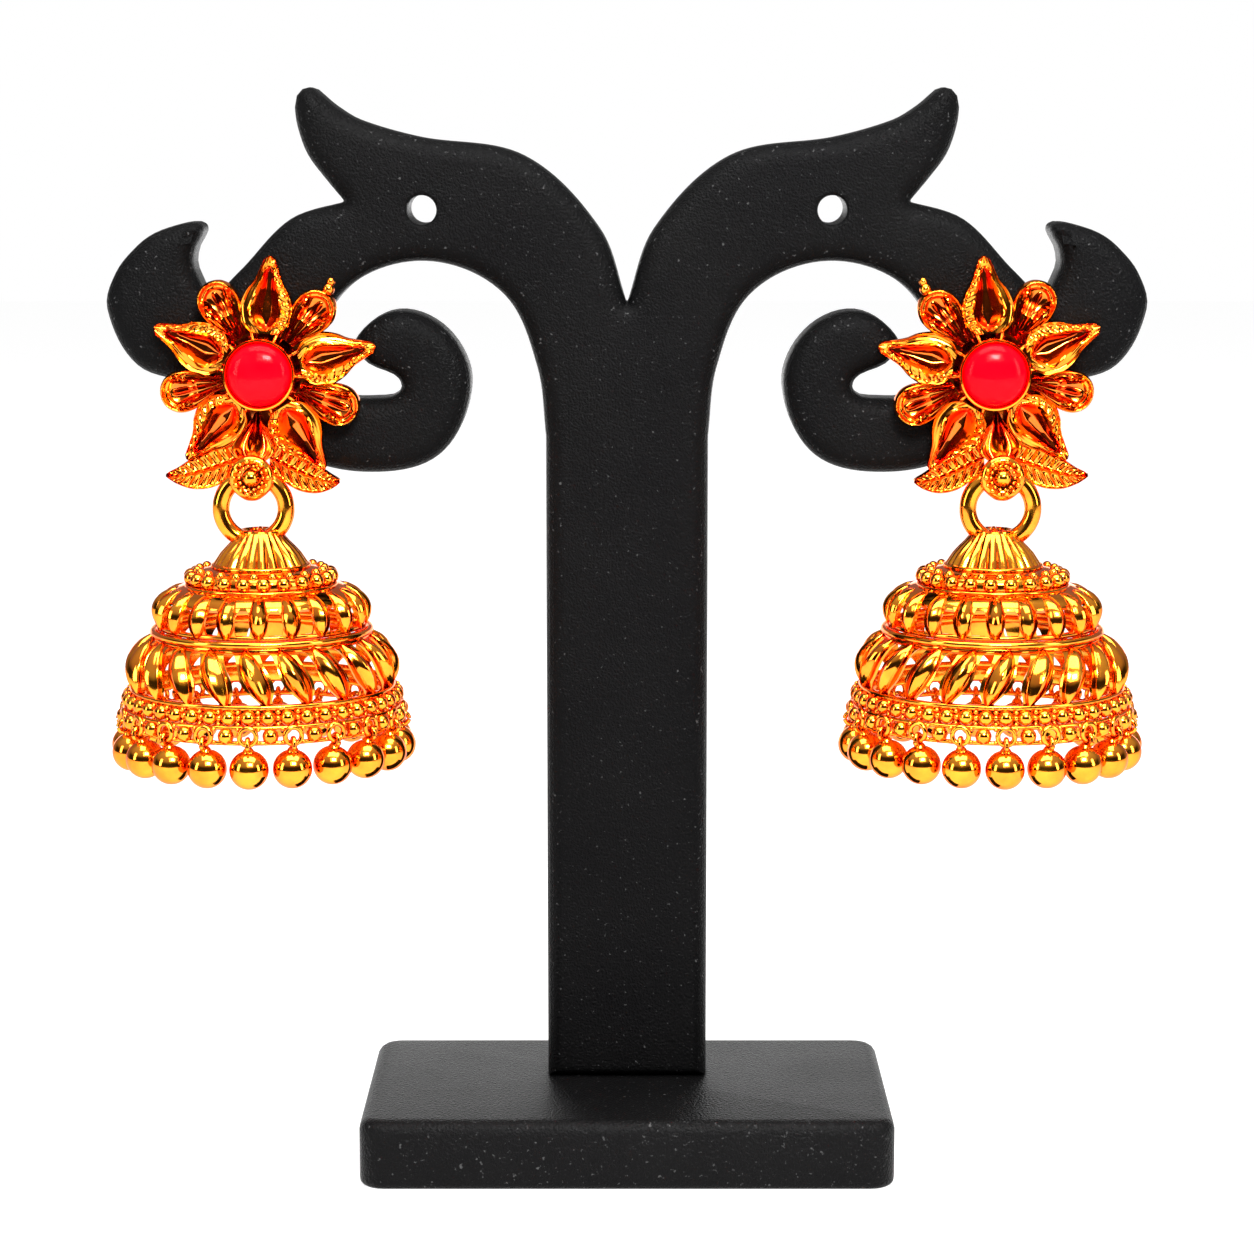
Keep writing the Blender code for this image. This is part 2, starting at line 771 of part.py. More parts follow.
def make_drops(side, name, mesh, swing):
    """The ball drops, each looped through its own eyelet in the rim."""
    top = bell_top(side)
    share, down, _, turn = BELL_ROWS[-2]
    reach = share * BELL_RADIUS - BELL_WALL / 2
    eyelet_floor = down * BELL_HEIGHT
    height = top.z - eyelet_floor + GAP + DROP_WIRE / 2 - drop_loop_radius()
    pitch = 2 * math.pi / SECTORS
    for number in range(SECTORS):
        angle = side * (number * pitch + turn * TIER_SLANT)
        drop = bpy.data.objects.new("%s_drop_%02d" % (name, number + 1), mesh)
        bpy.context.scene.collection.objects.link(drop)
        place = Vector((top.x + reach * math.cos(angle), top.y + reach * math.sin(angle), height))
        drop.location = place - swing.location
        drop.rotation_euler = (0, 0, angle)
        drop.parent = swing


def move_origin(made, swing):
    """Hangs a piece modelled in world coordinates on the empty at its joint's axis."""
    made.data.transform(Matrix.Translation(-swing.location))
    made.parent = swing


def make_earring(side, name, looks, drop):
    gold, red, steel = looks
    make_flower(side, name + "_stud_flower", gold)
    make_stone(side, name + "_stone", red)
    make_ear_post(side, name + "_ear_post", steel)
    swing = bpy.data.objects.new(name + "_swing_axis", None)
    swing.location = hang_place(side)
    bpy.context.scene.collection.objects.link(swing)
    move_origin(make_ring(side, name + "_hanger_ring", gold), swing)
    move_origin(make_bell(side, name + "_bell", gold), swing)
    make_drops(side, name, drop, swing)


def main():
    clear_scene()
    black = material("black leatherette", BLACK, 0.5, 0.0)
    gold = material("polished gold", GOLD, 0.18, 1.0)
    red = material("red stone", RED, 0.12, 0.0)
    steel = material("post metal", STEEL, 0.3, 1.0)
    make_base(black)
    make_tree(black)
    drop = drop_mesh(gold)
    for side, name in ((-1, "left"), (1, "right")):
        make_earring(side, name, (gold, red, steel), drop)


main()
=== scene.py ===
"""A pair of polished jhumka earrings on a black two-armed display stand, dressed for a render.

Lengths are in millimetres until a piece is made. The front faces -Y, and every piece of an earring
is shaped for the right-hand one and mirrored for the left.
"""

import math

import bmesh
import bpy
from mathutils import Matrix, Vector
from mathutils.geometry import delaunay_2d_cdt


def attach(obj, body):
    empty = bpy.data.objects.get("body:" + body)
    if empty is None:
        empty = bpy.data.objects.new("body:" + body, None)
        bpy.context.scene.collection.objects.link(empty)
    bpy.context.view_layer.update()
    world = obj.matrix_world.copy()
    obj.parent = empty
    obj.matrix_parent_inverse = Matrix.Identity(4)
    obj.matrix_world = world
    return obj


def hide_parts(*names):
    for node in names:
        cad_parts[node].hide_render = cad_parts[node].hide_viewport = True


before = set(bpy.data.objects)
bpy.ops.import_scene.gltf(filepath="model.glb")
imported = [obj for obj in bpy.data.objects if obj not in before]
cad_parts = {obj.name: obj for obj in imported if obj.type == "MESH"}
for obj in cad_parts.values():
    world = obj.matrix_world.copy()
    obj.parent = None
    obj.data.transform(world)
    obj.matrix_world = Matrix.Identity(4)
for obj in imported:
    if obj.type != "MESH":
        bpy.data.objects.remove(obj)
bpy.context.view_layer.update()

MM = 0.001
TURN = 2 * math.pi

# Stand
BASE_WIDTH = 54.8
BASE_DEPTH = 31.2
BASE_THICKNESS = 7.1
BASE_CORNER = 2.6
BASE_EDGE = 1.3
BASE_EDGE_STEPS = 4
BASE_CORNER_STEPS = 6
# The underside's edge is this share of the top's.
BASE_UNDER_SHARE = 0.5
STAND_HEIGHT = 111.0
SPRING_HEIGHT = 75.4
HALF_SPAN = 53.5
POST_HALF_WIDTH = 8.4
TREE_THICKNESS = 8.0
TREE_EDGE = 2.1
EDGE_STEPS = 5
EDGE_SMOOTHINGS = 6
# Where the tree is narrow, its rounded edge takes this share of the width.
NARROW_SHARE = 0.36
OUTLINE_STEP = 0.8
CORNER_TURN = math.radians(35)
CORNER_STEPS = 6
SPARE_HOLE = (20.94, 98.63)
SPARE_HOLE_RADIUS = 1.5
HOLE_ROUNDING = 0.5
HOLE_SIDES = 40
HOLE_STEPS = 4

# Stud
STUD = Vector((37.29, 0.0, 82.2))
FLOWER_ROLL = math.radians(5)
PLATE_RADIUS = 6.2
PLATE_COVER = 0.75
PETAL_STEPS = 64
PETAL_STEPS_ACROSS = 36
# Points of a petal whose relief lies below RECESS_FROM get the gold's painted red shade, in full
# RECESS_RANGE lower.
RECESS_FROM = 0.42
RECESS_RANGE = 0.6
STONE_RADIUS = 3.2
STONE_FOOT = 3.7
STONE_SHOULDER = 4.45
STONE_FRONT = 6.0
STONE_STEPS = 15
# The little bars behind the bezel. Columns of their places: distance from the middle, depth.
BEZEL_BARS = 10
BAR_WIRE = 0.2
BAR_START = (3.5, -2.4)
BAR_BEAD = (4.7, -1.7)
BAR_END = (6.2, -1.1)
BAR_BEAD_RADIUS = 0.36
ROSETTE_BALL = 0.86
ROSETTE_DEPTH = -1.95
ROSETTE_BEADS = 14
NUB = Vector((-6.9, -1.3, 8.5))
NUB_TIP = Vector((-0.25, 0, 0.75))
PIN_RADIUS = 0.45
PIN_TAIL = 2.6
CLUTCH_RADIUS = 2.6
CLUTCH_THICKNESS = 1.4
CLUTCH_GAP = 0.3
DISC_CENTRE = 8.5
DISC_RADIUS = 2.15
POINTED_SIZE = (11.9, 2.75)
ROUNDED_SIZE = (10.65, 2.15)
LOBE_SIZE = (9.3, 2.15)
LEAF_START = 1.4
LEAF_LENGTHS = {-1: 7.2, 1: 7.85}
LEAF_DROPS = {-1: 0.7, 1: 0.0}

# Hanger ring and bell
PIVOT = Vector((38.09, -4.2, 71.9))
RING_RADIUS = 3.32
RING_WIRE = 0.875
BELL_INWARD = 0.65
BELL_AXIS = Vector((PIVOT.x - BELL_INWARD, PIVOT.y, 0.0))
BAIL_RADIUS = 1.5
BAIL_WIRE = 0.33
SECTORS = 20
UPPER_LEAF_TURN = math.radians(-4.5)
LOWER_LEAF_TURN = math.radians(2.7)
SLANT = math.radians(-11)
CROWN_FLUTES = 24
COLLAR_BEADS = 22
UPPER_BEADS = 44
CROWN_WALL = 0.55
FLUTE_DEPTH = 0.08
FLUTE_TOP = 66.3
FLUTE_FADE = 1.2
BELL_BAIL_RADIUS = 1.2
BELL_BAIL_WIRE = 0.25
UPPER_LEAF_SIZE = (0.98, 0.68)
LOWER_LEAF_SIZE = (1.24, 0.78)
LEAF_THICKNESS = 0.45
LEAF_STEPS = 22
LEAF_RIDGE = 0.06
UPPER_SHEET_DEPTH = 0.12
LOWER_SHEET_DEPTH = 0.15
SHEET_THICKNESS = 0.35
SHEET_STEPS = 20

# Drops
EYELET_REACH = 14.42
EYELET_HEIGHT = 47.62
EYELET_RADIUS = 0.84
EYELET_WIRE = 0.27
DROP_REACH = 13.7
DROP_HEIGHT = 44.15
DROP_RADIUS = 1.97
DROP_WIRE = 0.26
DROP_LOOP = 0.55
DROP_LOOP_HEIGHT = 46.82
# The little cone between ball and loop. Columns: radius, height over its foot.
DROP_NECK = ((0.02, 0.0), (0.62, 0.0), (0.52, 0.28), (0.32, 0.5), (0.02, 0.6))

# Studio, in metres but for the floor. Columns of the lights: name, place, target, size, power.
CAMERA_LENS = 94.5
CAMERA_PLACE = (0.0, -0.3377, 0.1095)
CAMERA_DIP = 9.06
FLOOR_FRONT = 430.0
FLOOR_REACH = 1500.0
LIGHTS = (
    ("top softbox", (0.0, -0.08, 0.42), (0, 0, 0.06), (0.40, 0.22), 2.2),
    ("bright window", (0.06, -0.34, 0.34), (0, 0, 0.07), (0.14, 0.09), 3.4),
    ("window veil", (0.05, -0.37, 0.36), (0, 0, 0.07), (0.28, 0.20), 0.9),
    ("left softbox", (-0.40, -0.22, 0.18), (0, 0, 0.06), (0.10, 0.26), 0.6),
    ("right softbox", (0.40, -0.22, 0.18), (0, 0, 0.06), (0.10, 0.26), 0.6),
    ("rear strip", (0.0, 0.32, 0.06), (0, 0, 0.02), (0.50, 0.09), 0.28),
)
# The room's brightness by height. Columns: place from straight down to straight up, brightness.
ROOM_BANDS = ((0.0, 0.3), (0.42, 0.12), (0.50, 0.03), (0.64, 0.03), (0.74, 0.4), (1.0, 0.7))
REAR_WALL = 0.32

# Half of the stand's outline, from the post's shoulder round to the notch at the top.
# Columns: share of the half span, share of the height over the spring line, sharp corner or not.
SCROLL_KNOTS = (
    (0.157, 0.000, False),
    (0.173, 0.199, False),
    (0.236, 0.409, False),
    (0.372, 0.504, False),
    (0.516, 0.452, False),
    (0.591, 0.290, False),
    (0.557, 0.129, False),
    (0.472, 0.110, False),
    (0.440, 0.126, False),
    (0.438, 0.163, False),
    (0.465, 0.188, False),
    (0.499, 0.210, False),
    (0.525, 0.275, False),
    (0.443, 0.362, False),
    (0.345, 0.302, False),
    (0.301, 0.144, False),
    (0.364, -0.056, False),
    (0.511, -0.106, False),
    (0.666, -0.041, False),
    (0.829, 0.141, False),
    (0.944, 0.205, False),
    (1.000, 0.368, False),
    (0.982, 0.472, False),
    (0.939, 0.550, False),
    (0.905, 0.586, False),
    (0.862, 0.609, False),
    (0.838, 0.616, False),
    (0.824, 0.616, False),
    (0.813, 0.609, False),
    (0.810, 0.594, False),
    (0.815, 0.576, False),
    (0.826, 0.547, False),
    (0.832, 0.502, False),
    (0.824, 0.461, False),
    (0.800, 0.412, False),
    (0.747, 0.472, False),
    (0.645, 0.625, False),
    (0.540, 0.675, True),
    (0.577, 0.742, False),
    (0.610, 0.810, False),
    (0.628, 0.886, False),
    (0.633, 0.944, False),
    (0.629, 0.976, False),
    (0.618, 0.995, False),
    (0.605, 1.000, False),
    (0.593, 0.994, False),
    (0.580, 0.977, False),
    (0.558, 0.949, False),
    (0.512, 0.908, False),
    (0.400, 0.860, False),
    (0.198, 0.806, False),
    (0.052, 0.596, False),
    (0.000, 0.380, True),
)

# Petal outlines. Columns: share of the length, share of the half width.
POINTED = (
    (0.34, 0.50),
    (0.40, 0.82),
    (0.48, 0.96),
    (0.57, 1.0),
    (0.69, 0.82),
    (0.785, 0.54),
    (0.91, 0.32),
    (0.975, 0.20),
    (1.0, 0.07),
)
ROUNDED = (
    (0.39, 0.32),
    (0.50, 0.48),
    (0.60, 0.74),
    (0.70, 0.94),
    (0.80, 1.0),
    (0.88, 0.91),
    (0.95, 0.66),
    (0.985, 0.38),
    (1.0, 0.12),
)
LOBED = (
    (0.42, 0.10),
    (0.52, 0.28),
    (0.64, 0.66),
    (0.76, 0.98),
    (0.83, 1.0),
    (0.91, 0.70),
    (0.97, 0.30),
    (1.0, 0.08),
)
LEAFY = ((0.0, 1.3), (0.15, 1.75), (0.40, 2.0), (0.65, 1.6), (0.85, 0.85), (0.95, 0.42), (1.0, 0.12))
# How far the leaf's middle line lies over the pivot. Columns: share of the length, height.
LEAF_LINE = ((0.0, 1.6), (0.15, 1.2), (0.40, 0.5), (0.65, -0.05), (0.85, -0.3), (1.0, -0.2))
# The dark slit of a pointed petal. Columns: share of the length, share of the width there.
SLIT = (
    (0.37, 0.0),
    (0.41, 0.30),
    (0.48, 0.46),
    (0.60, 0.43),
    (0.70, 0.40),
    (0.82, 0.36),
    (0.88, 0.26),
    (0.91, 0.0),
)
# The bezel and the rosette's bowl, as closed profiles. Columns: radius, height to the front.
BEZEL = (
    (3.95, 1.2),
    (3.80, 2.2),
    (3.66, 3.4),
    (3.62, 4.5),
    (3.66, 4.75),
    (3.58, 4.95),
    (3.42, 4.98),
    (3.30, 4.85),
    (3.26, 4.5),
    (3.26, 1.2),
)
ROSETTE = (
    (0.3, 5.0),
    (1.5, 5.0),
    (2.1, 5.35),
    (2.28, 5.75),
    (2.1, 6.15),
    (1.8, 6.25),
    (1.5, 6.0),
    (1.2, 5.85),
    (0.3, 5.9),
)
POINTED_ANGLES = (90, 18, 162, 234, 306)
ROUND_ANGLES = (126, 54, 198, 342)
LOBE_ANGLE = 270

# The bell's outer faces, top to bottom. The collar is a closed profile. Columns: radius, height.
CROWN = (
    (2.05, 66.25),
    (2.45, 65.9),
    (2.95, 65.3),
    (3.55, 64.7),
    (4.1, 64.1),
    (4.5, 63.5),
    (4.82, 63.0),
)
COLLAR = (
    (4.6, 62.75),
    (5.6, 62.55),
    (6.6, 62.3),
    (7.1, 62.0),
    (7.25, 61.5),
    (7.2, 61.0),
    (7.45, 60.92),
    (7.72, 60.86),
    (7.75, 60.72),
    (7.5, 60.6),
    (6.6, 60.5),
    (6.4, 61.6),
    (4.6, 62.2),
)
SHOULDER = ((7.3, 60.95), (8.2, 60.72), (9.1, 60.35), (9.75, 59.75), (9.85, 59.45))
UPPER_TIER = (
    (7.5, 60.75),
    (8.7, 60.55),
    (9.65, 59.95),
    (10.25, 59.2),
    (10.58, 58.4),
    (10.66, 57.5),
    (10.58, 56.7),
)
LOWER_TIER = (
    (11.05, 55.75),
    (12.0, 55.1),
    (12.68, 54.2),
    (13.12, 53.2),
    (13.32, 52.2),
    (13.34, 51.2),
    (13.25, 50.3),
)

# Plain bands of the bell. Columns: inner radius, outer radius, bottom, top, rounding.
CROWN_FOOT = (4.4, 5.1, 62.55, 63.0, 0.2)
UPPER_FOOT = (9.9, 10.6, 56.45, 57.0, 0.2)
PLAIN_BAND = (10.5, 11.42, 55.80, 56.52, 0.34)
LOWER_HEAD = (10.4, 11.15, 55.25, 55.9, 0.25)
LOWER_FOOT = (12.8, 13.6, 50.0, 50.55, 0.2)
ROW_BAND = (12.9, 13.55, 48.45, 50.25, 0.25)
# Rings of wire. Columns: radius, height, half of the wire's thickness.
CROWN_WIRE = (1.85, 66.2, 0.28)
COLLAR_WIRE = (7.62, 60.82, 0.20)
ROW_WIRES = ((14.1, 48.42, 0.22), (14.15, 46.92, 0.24))
# Rings of beads. Columns: reach, height, bead radius, share of the spacing that they are turned by,
# the bead's sides and its rows of faces.
COLLAR_RINGS = ((7.15, 61.66, 0.78, 0.0, 20, 12), (6.45, 62.30, 0.50, 0.5, 14, 8))
UPPER_RINGS = (
    (13.68, 49.35, 0.80, 0.0, 20, 12),
    (13.95, 49.95, 0.24, 0.5, 8, 5),
    (13.95, 48.75, 0.24, 0.5, 8, 5),
    (13.75, 49.35, 0.34, 0.5, 10, 6),
)
LOWER_RINGS = (
    (14.15, 47.6, 0.82, 0.50, 20, 12),
    (14.3, 48.3, 0.24, 0.23, 8, 5),
    (14.3, 47.0, 0.24, 0.23, 8, 5),
    (14.3, 48.3, 0.24, 0.77, 8, 5),
    (14.3, 47.0, 0.24, 0.77, 8, 5),
)

# The leaves. Columns: share of the way down the tier, share of the leaf's half width.
UPPER_LEAF = ((0.0, 0.22), (0.3, 0.72), (0.62, 1.0), (0.85, 0.75), (1.0, 0.3))
LOWER_LEAF = ((0.0, 0.16), (0.2, 0.72), (0.45, 1.0), (0.75, 0.76), (1.0, 0.08))
# Where the points lie across a leaf: its left part, its ridge and its right part.
STATIONS = (-1, -0.97, -0.92, -0.86, -0.8, -0.6, -0.38, -0.16)
STATIONS += (LEAF_RIDGE,)
STATIONS += (0.2, 0.4, 0.62, 0.8, 0.86, 0.92, 0.97, 1)
# The recessed metal behind each leaf. Columns: share of the way down the tier, half width.
UPPER_SHEET = ((0.0, 1.4), (0.25, 1.5), (0.40, 1.2), (0.55, 0.95), (0.8, 0.85), (1.0, 1.1))
LOWER_SHEET = (
    (0.0, 1.55),
    (0.12, 1.30),
    (0.30, 1.35),
    (0.55, 1.62),
    (0.72, 1.40),
    (0.88, 0.75),
    (1.0, 0.55),
)


def noise(tree, place, scale, detail):
    made = tree.nodes.new("ShaderNodeTexNoise")
    made.inputs["Scale"].default_value = scale
    made.inputs["Detail"].default_value = detail
    tree.links.new(place.outputs["Object"], made.inputs["Vector"])
    return made.outputs["Fac"]


def ramp(tree, source, low, high):
    """Colours over a value, between two (place, colour) pairs."""
    made = tree.nodes.new("ShaderNodeValToRGB")
    for element, (position, colour) in zip(made.color_ramp.elements, (low, high)):
        element.position = position
        element.color = (*colour, 1)
    tree.links.new(source, made.inputs["Fac"])
    return made.outputs["Color"]


def map_range(tree, source, start, end, low, high):
    made = tree.nodes.new("ShaderNodeMapRange")
    for socket, value in (("From Min", start), ("From Max", end), ("To Min", low), ("To Max", high)):
        made.inputs[socket].default_value = value
    tree.links.new(source, made.inputs["Value"])
    return made.outputs["Result"]


def mixed(tree, blend, factor, a, b):
    """Two colours mixed. The factor is a number or an output, and so is b a colour or an output."""
    made = tree.nodes.new("ShaderNodeMix")
    made.data_type = "RGBA"
    made.blend_type = blend
    tree.links.new(a, made.inputs["A"])
    for socket, value in (("Factor", factor), ("B", b)):
        if isinstance(value, bpy.types.NodeSocket):
            tree.links.new(value, made.inputs[socket])
        else:
            made.inputs[socket].default_value = value
    return made.outputs["Result"]


def bumped(tree, shader, height, strength, distance):
    bump = tree.nodes.new("ShaderNodeBump")
    bump.inputs["Strength"].default_value = strength
    bump.inputs["Distance"].default_value = distance * MM
    tree.links.new(height, bump.inputs["Height"])
    tree.links.new(bump.outputs["Normal"], shader.inputs["Normal"])


def start_material(name):
    made = bpy.data.materials.new(name)
    made.use_nodes = True
    tree = made.node_tree
    return made, tree, tree.nodes["Principled BSDF"], tree.nodes.new("ShaderNodeTexCoord")


def gold_material(name, bump_scale, bump_strength, smooth, reach, shade_strength):
    """Gold with uneven tone and polish, painted red shade in its hollows, and painted darkening where
    parts lie close together.
    """
    made, tree, shader, place = start_material(name)
    shader.inputs["Metallic"].default_value = 1.0
    shader.inputs["Specular Tint"].default_value = (1.0, 0.34, 0.04, 1)
    shader.inputs["Coat Weight"].default_value = 0.45
    shader.inputs["Coat Roughness"].default_value = 0.06

    patches = noise(tree, place, 420.0, 5.0)
    tone = ramp(tree, patches, (0.32, (0.94, 0.235, 0.004)), (0.62, (1.0, 0.36, 0.014)))
    # Painted shade: the petals' hollows are tinted red-brown, by the recessed attribute.
    pit = tree.nodes.new("ShaderNodeAttribute")
    pit.attribute_name = "recessed"
    hollow_shade = mixed(tree, "MIX", pit.outputs["Fac"], tone, (0.95, 0.15, 0.004, 1))
    # Painted shade: the colour is darkened where ambient occlusion finds parts close by.
    recess = tree.nodes.new("ShaderNodeAmbientOcclusion")
    recess.samples = 8
    recess.inputs["Distance"].default_value = reach * MM
    depth = ramp(tree, recess.outputs["AO"], (0.25, (0.55, 0.09, 0.006)), (0.80, (1, 1, 1)))
    painted_shade = mixed(tree, "MULTIPLY", shade_strength, hollow_shade, depth)
    tree.links.new(painted_shade, shader.inputs["Base Color"])

    wear = map_range(tree, patches, 0.3, 0.7, smooth * 0.6, smooth * 1.5)
    tree.links.new(wear, shader.inputs["Roughness"])
    bumped(tree, shader, noise(tree, place, bump_scale, 4.0), bump_strength, 0.1)
    return made


def stone_material():
    """Opaque red stone with a faint cloud in its colour, a clear gloss and a painted red glow."""
    made, tree, shader, place = start_material("red cabochon")
    shader.inputs["Roughness"].default_value = 0.11
    shader.inputs["Specular IOR Level"].default_value = 0.06
    # Painted glow: the stone gives off red light of its own.
    shader.inputs["Emission Color"].default_value = (1.0, 0.0, 0.004, 1)
    shader.inputs["Emission Strength"].default_value = 0.3
    cloud = noise(tree, place, 300.0, 3.0)
    tone = ramp(tree, cloud, (0.3, (0.78, 0.0, 0.004)), (0.7, (0.92, 0.001, 0.006)))
    tree.links.new(tone, shader.inputs["Base Color"])
    return made


def leatherette_material(name, shine):
    """Black leatherette with a fine pebbled grain, uneven gloss, and a few light specks that are partly
    dust and partly painted glints.
    """
    made, tree, shader, place = start_material(name)
    shader.inputs["Specular IOR Level"].default_value = shine
    pebbles = tree.nodes.new("ShaderNodeTexVoronoi")
    pebbles.feature = "DISTANCE_TO_EDGE"
    pebbles.inputs["Scale"].default_value = 2000.0
    tree.links.new(place.outputs["Object"], pebbles.inputs["Vector"])
    blend = tree.nodes.new("ShaderNodeMix")
    blend.inputs["Factor"].default_value = 0.6
    tree.links.new(pebbles.outputs["Distance"], blend.inputs["A"])
    tree.links.new(noise(tree, place, 4200.0, 4.0), blend.inputs["B"])
    bumped(tree, shader, blend.outputs["Result"], 1.0, 0.26)

    scuffs = noise(tree, place, 90.0, 6.0)
    tone = ramp(tree, scuffs, (0.0, (0.0016, 0.0016, 0.0018)), (1.0, (0.004, 0.0039, 0.0039)))
    # Light specks in the colour: partly dust, partly painted glints.
    dust_and_glint_noise = noise(tree, place, 2400.0, 2.0)
    dust_and_glint_specks = ramp(tree, dust_and_glint_noise, (0.67, (0, 0, 0)), (0.75, (0.05, 0.05, 0.05)))
    tree.links.new(mixed(tree, "ADD", 1.0, tone, dust_and_glint_specks), shader.inputs["Base Color"])
    gloss = map_range(tree, scuffs, 0.0, 1.0, 0.26, 0.40)
    tree.links.new(gloss, shader.inputs["Roughness"])
    return made


def floor_material():
    made = bpy.data.materials.new("white paper")
    made.use_nodes = True
    shader = made.node_tree.nodes["Principled BSDF"]
    shader.inputs["Base Color"].default_value = (0.4, 0.4, 0.4, 1)
    shader.inputs["Roughness"].default_value = 0.9
    shader.inputs["Emission Color"].default_value = (1, 1, 1, 1)
    shader.inputs["Emission Strength"].default_value = 0.78
    return made


def share_at(table, at):
    """A smooth curve through the table's (place, value) rows."""
    for i in range(len(table) - 1):
        low, start = table[i]
        high, end = table[i + 1]
        if at <= high or i == len(table) - 2:
            before = table[i - 1] if i else table[i]
            after = table[i + 2] if i + 2 < len(table) else table[i + 1]
            leave = (end - before[1]) / (high - before[0]) * (high - low)
            arrive = (after[1] - start) / (after[0] - low) * (high - low)
            t = min(1.0, max(0.0, (at - low) / (high - low)))
            return (
                start * (2 * t**3 - 3 * t**2 + 1)
                + leave * (t**3 - 2 * t**2 + t)
                + end * (3 * t**2 - 2 * t**3)
                + arrive * (t**3 - t**2)
            )
    return table[-1][1]


def hump(at, centre, width):
    """A smooth bump one high, at the centre."""
    return math.exp(-(((at - centre) / width) ** 2))


class Shape:
    """Points and faces of one piece, gathered part by part."""

    def __init__(self):
        self.points = []
        self.faces = []
        # For each point, how deep it lies in a petal's hollow: the gold paints red shade there.
        self.recessed = []

    def add(self, points, faces, matrix=None, recessed=None):
        start = len(self.points)
        self.recessed += recessed or [0.0] * len(points)
        for point in points:
            self.points.append(matrix @ point if matrix else Vector(point))
        self.faces += [tuple(start + corner for corner in face) for face in faces]

    def grid(self, rows, matrix=None, wrap_rows=False, wrap_columns=False, recessed=None):
        """Quads over rows of points of equal length."""
        high = len(rows)
        wide = len(rows[0])
        faces = []
        for i in range(high if wrap_rows else high - 1):
            for j in range(wide if wrap_columns else wide - 1):
                after = (j + 1) % wide
                below = (i + 1) % high
                faces.append((i * wide + j, i * wide + after, below * wide + after, below * wide + j))
        self.add([point for row in rows for point in row], faces, matrix, recessed)

    def lathe(self, profile, sides, matrix=None, wave=None, closed=True):
        """A turned ring: the profile is a loop of (radius, height) pairs if it is closed."""
        rows = []
        for i in range(sides):
            angle = TURN * i / sides
            row = []
            for radius, height in profile:
                reach = radius * (wave(angle, height) if wave else 1.0)
                row.append(Vector((reach * math.cos(angle), reach * math.sin(angle), height)))
            rows.append(row)
        self.grid(rows, matrix, wrap_rows=True, wrap_columns=closed)

    def torus(self, radius, wire, sides, wire_sides, matrix=None):
        loop = []
        for j in range(wire_sides):
            angle = TURN * j / wire_sides
            loop.append((radius + wire * math.cos(angle), wire * math.sin(angle)))
        self.lathe(loop, sides, matrix)

    def ball(self, centre, radius, around=16, rows=9):
        """A round ball with its poles up and down."""
        points = [Vector((0, 0, radius))]
        for i in range(1, rows):
            angle = math.pi * i / rows
            for j in range(around):
                turn = TURN * j / around
                points.append(
                    Vector(
                        (
                            radius * math.sin(angle) * math.cos(turn),
                            radius * math.sin(angle) * math.sin(turn),
                            radius * math.cos(angle),
                        )
                    )
                )
        points.append(Vector((0, 0, -radius)))
        faces = []
        last = len(points) - 1
        for j in range(around):
            after = (j + 1) % around
            faces.append((0, 1 + j, 1 + after))
            faces.append((last, last - around + after, last - around + j))
            for i in range(rows - 2):
                top = 1 + i * around
                low = top + around
                faces.append((top + j, low + j, low + after, top + after))
        self.add([centre + point for point in points], faces)

    def tube(self, path, wire, wire_sides=10):
        """A round wire along a path. Its open ends lie inside other parts."""
        rows = []
        for i, point in enumerate(path):
            ahead = (path[min(i + 1, len(path) - 1)] - path[max(i - 1, 0)]).normalized()
            turn = ahead.to_track_quat("Z", "Y").to_matrix()
            row = []
            for j in range(wire_sides):
                angle = TURN * j / wire_sides
                row.append(point + turn @ Vector((wire * math.cos(angle), wire * math.sin(angle), 0)))
            rows.append(row)
        self.grid(rows, wrap_columns=True)

    def piece(self, name, side, look, body, sharp=50, replaces=()):
        """Makes the object, mirrored for the left-hand earring, with edges over the angle sharp."""
        mesh = bpy.data.meshes.new(name)
        points = [(side * p.x * MM, p.y * MM, p.z * MM) for p in self.points]
        mesh.from_pydata(points, [], self.faces)
        hollows = mesh.attributes.new("recessed", "FLOAT", "POINT")
        hollows.data.foreach_set("value", self.recessed)
        form = bmesh.new()
        form.from_mesh(mesh)
        bmesh.ops.remove_doubles(form, verts=form.verts, dist=1e-7)
        bmesh.ops.recalc_face_normals(form, faces=form.faces)
        form.to_mesh(mesh)
        form.free()
        mesh.materials.append(look)
        mesh.shade_smooth()
        mesh.set_sharp_from_angle(angle=math.radians(sharp))
        made = bpy.data.objects.new(name, mesh)
        bpy.context.scene.collection.objects.link(made)
        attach(made, body)
        if replaces:
            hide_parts(*replaces)
        return made


FACING_FRONT = Matrix.Rotation(math.pi / 2, 4, "X")
FACING_SIDE = Matrix.Rotation(math.pi / 2, 4, "Y")


def rounded_loop(inside, outside, low, high, corner, steps=4):
    """A closed profile with rounded corners, for the lathe."""
    corner = min(corner, (outside - inside) / 2.01, (high - low) / 2.01)
    loop = []
    for quarter, (radius, height) in enumerate(
        (
            (outside - corner, high - corner),
            (inside + corner, high - corner),
            (inside + corner, low + corner),
            (outside - corner, low + corner),
        )
    ):
        for step in range(steps + 1):
            angle = (quarter + step / steps) * math.pi / 2
            loop.append((radius + corner * math.cos(angle), height + corner * math.sin(angle)))
    return loop


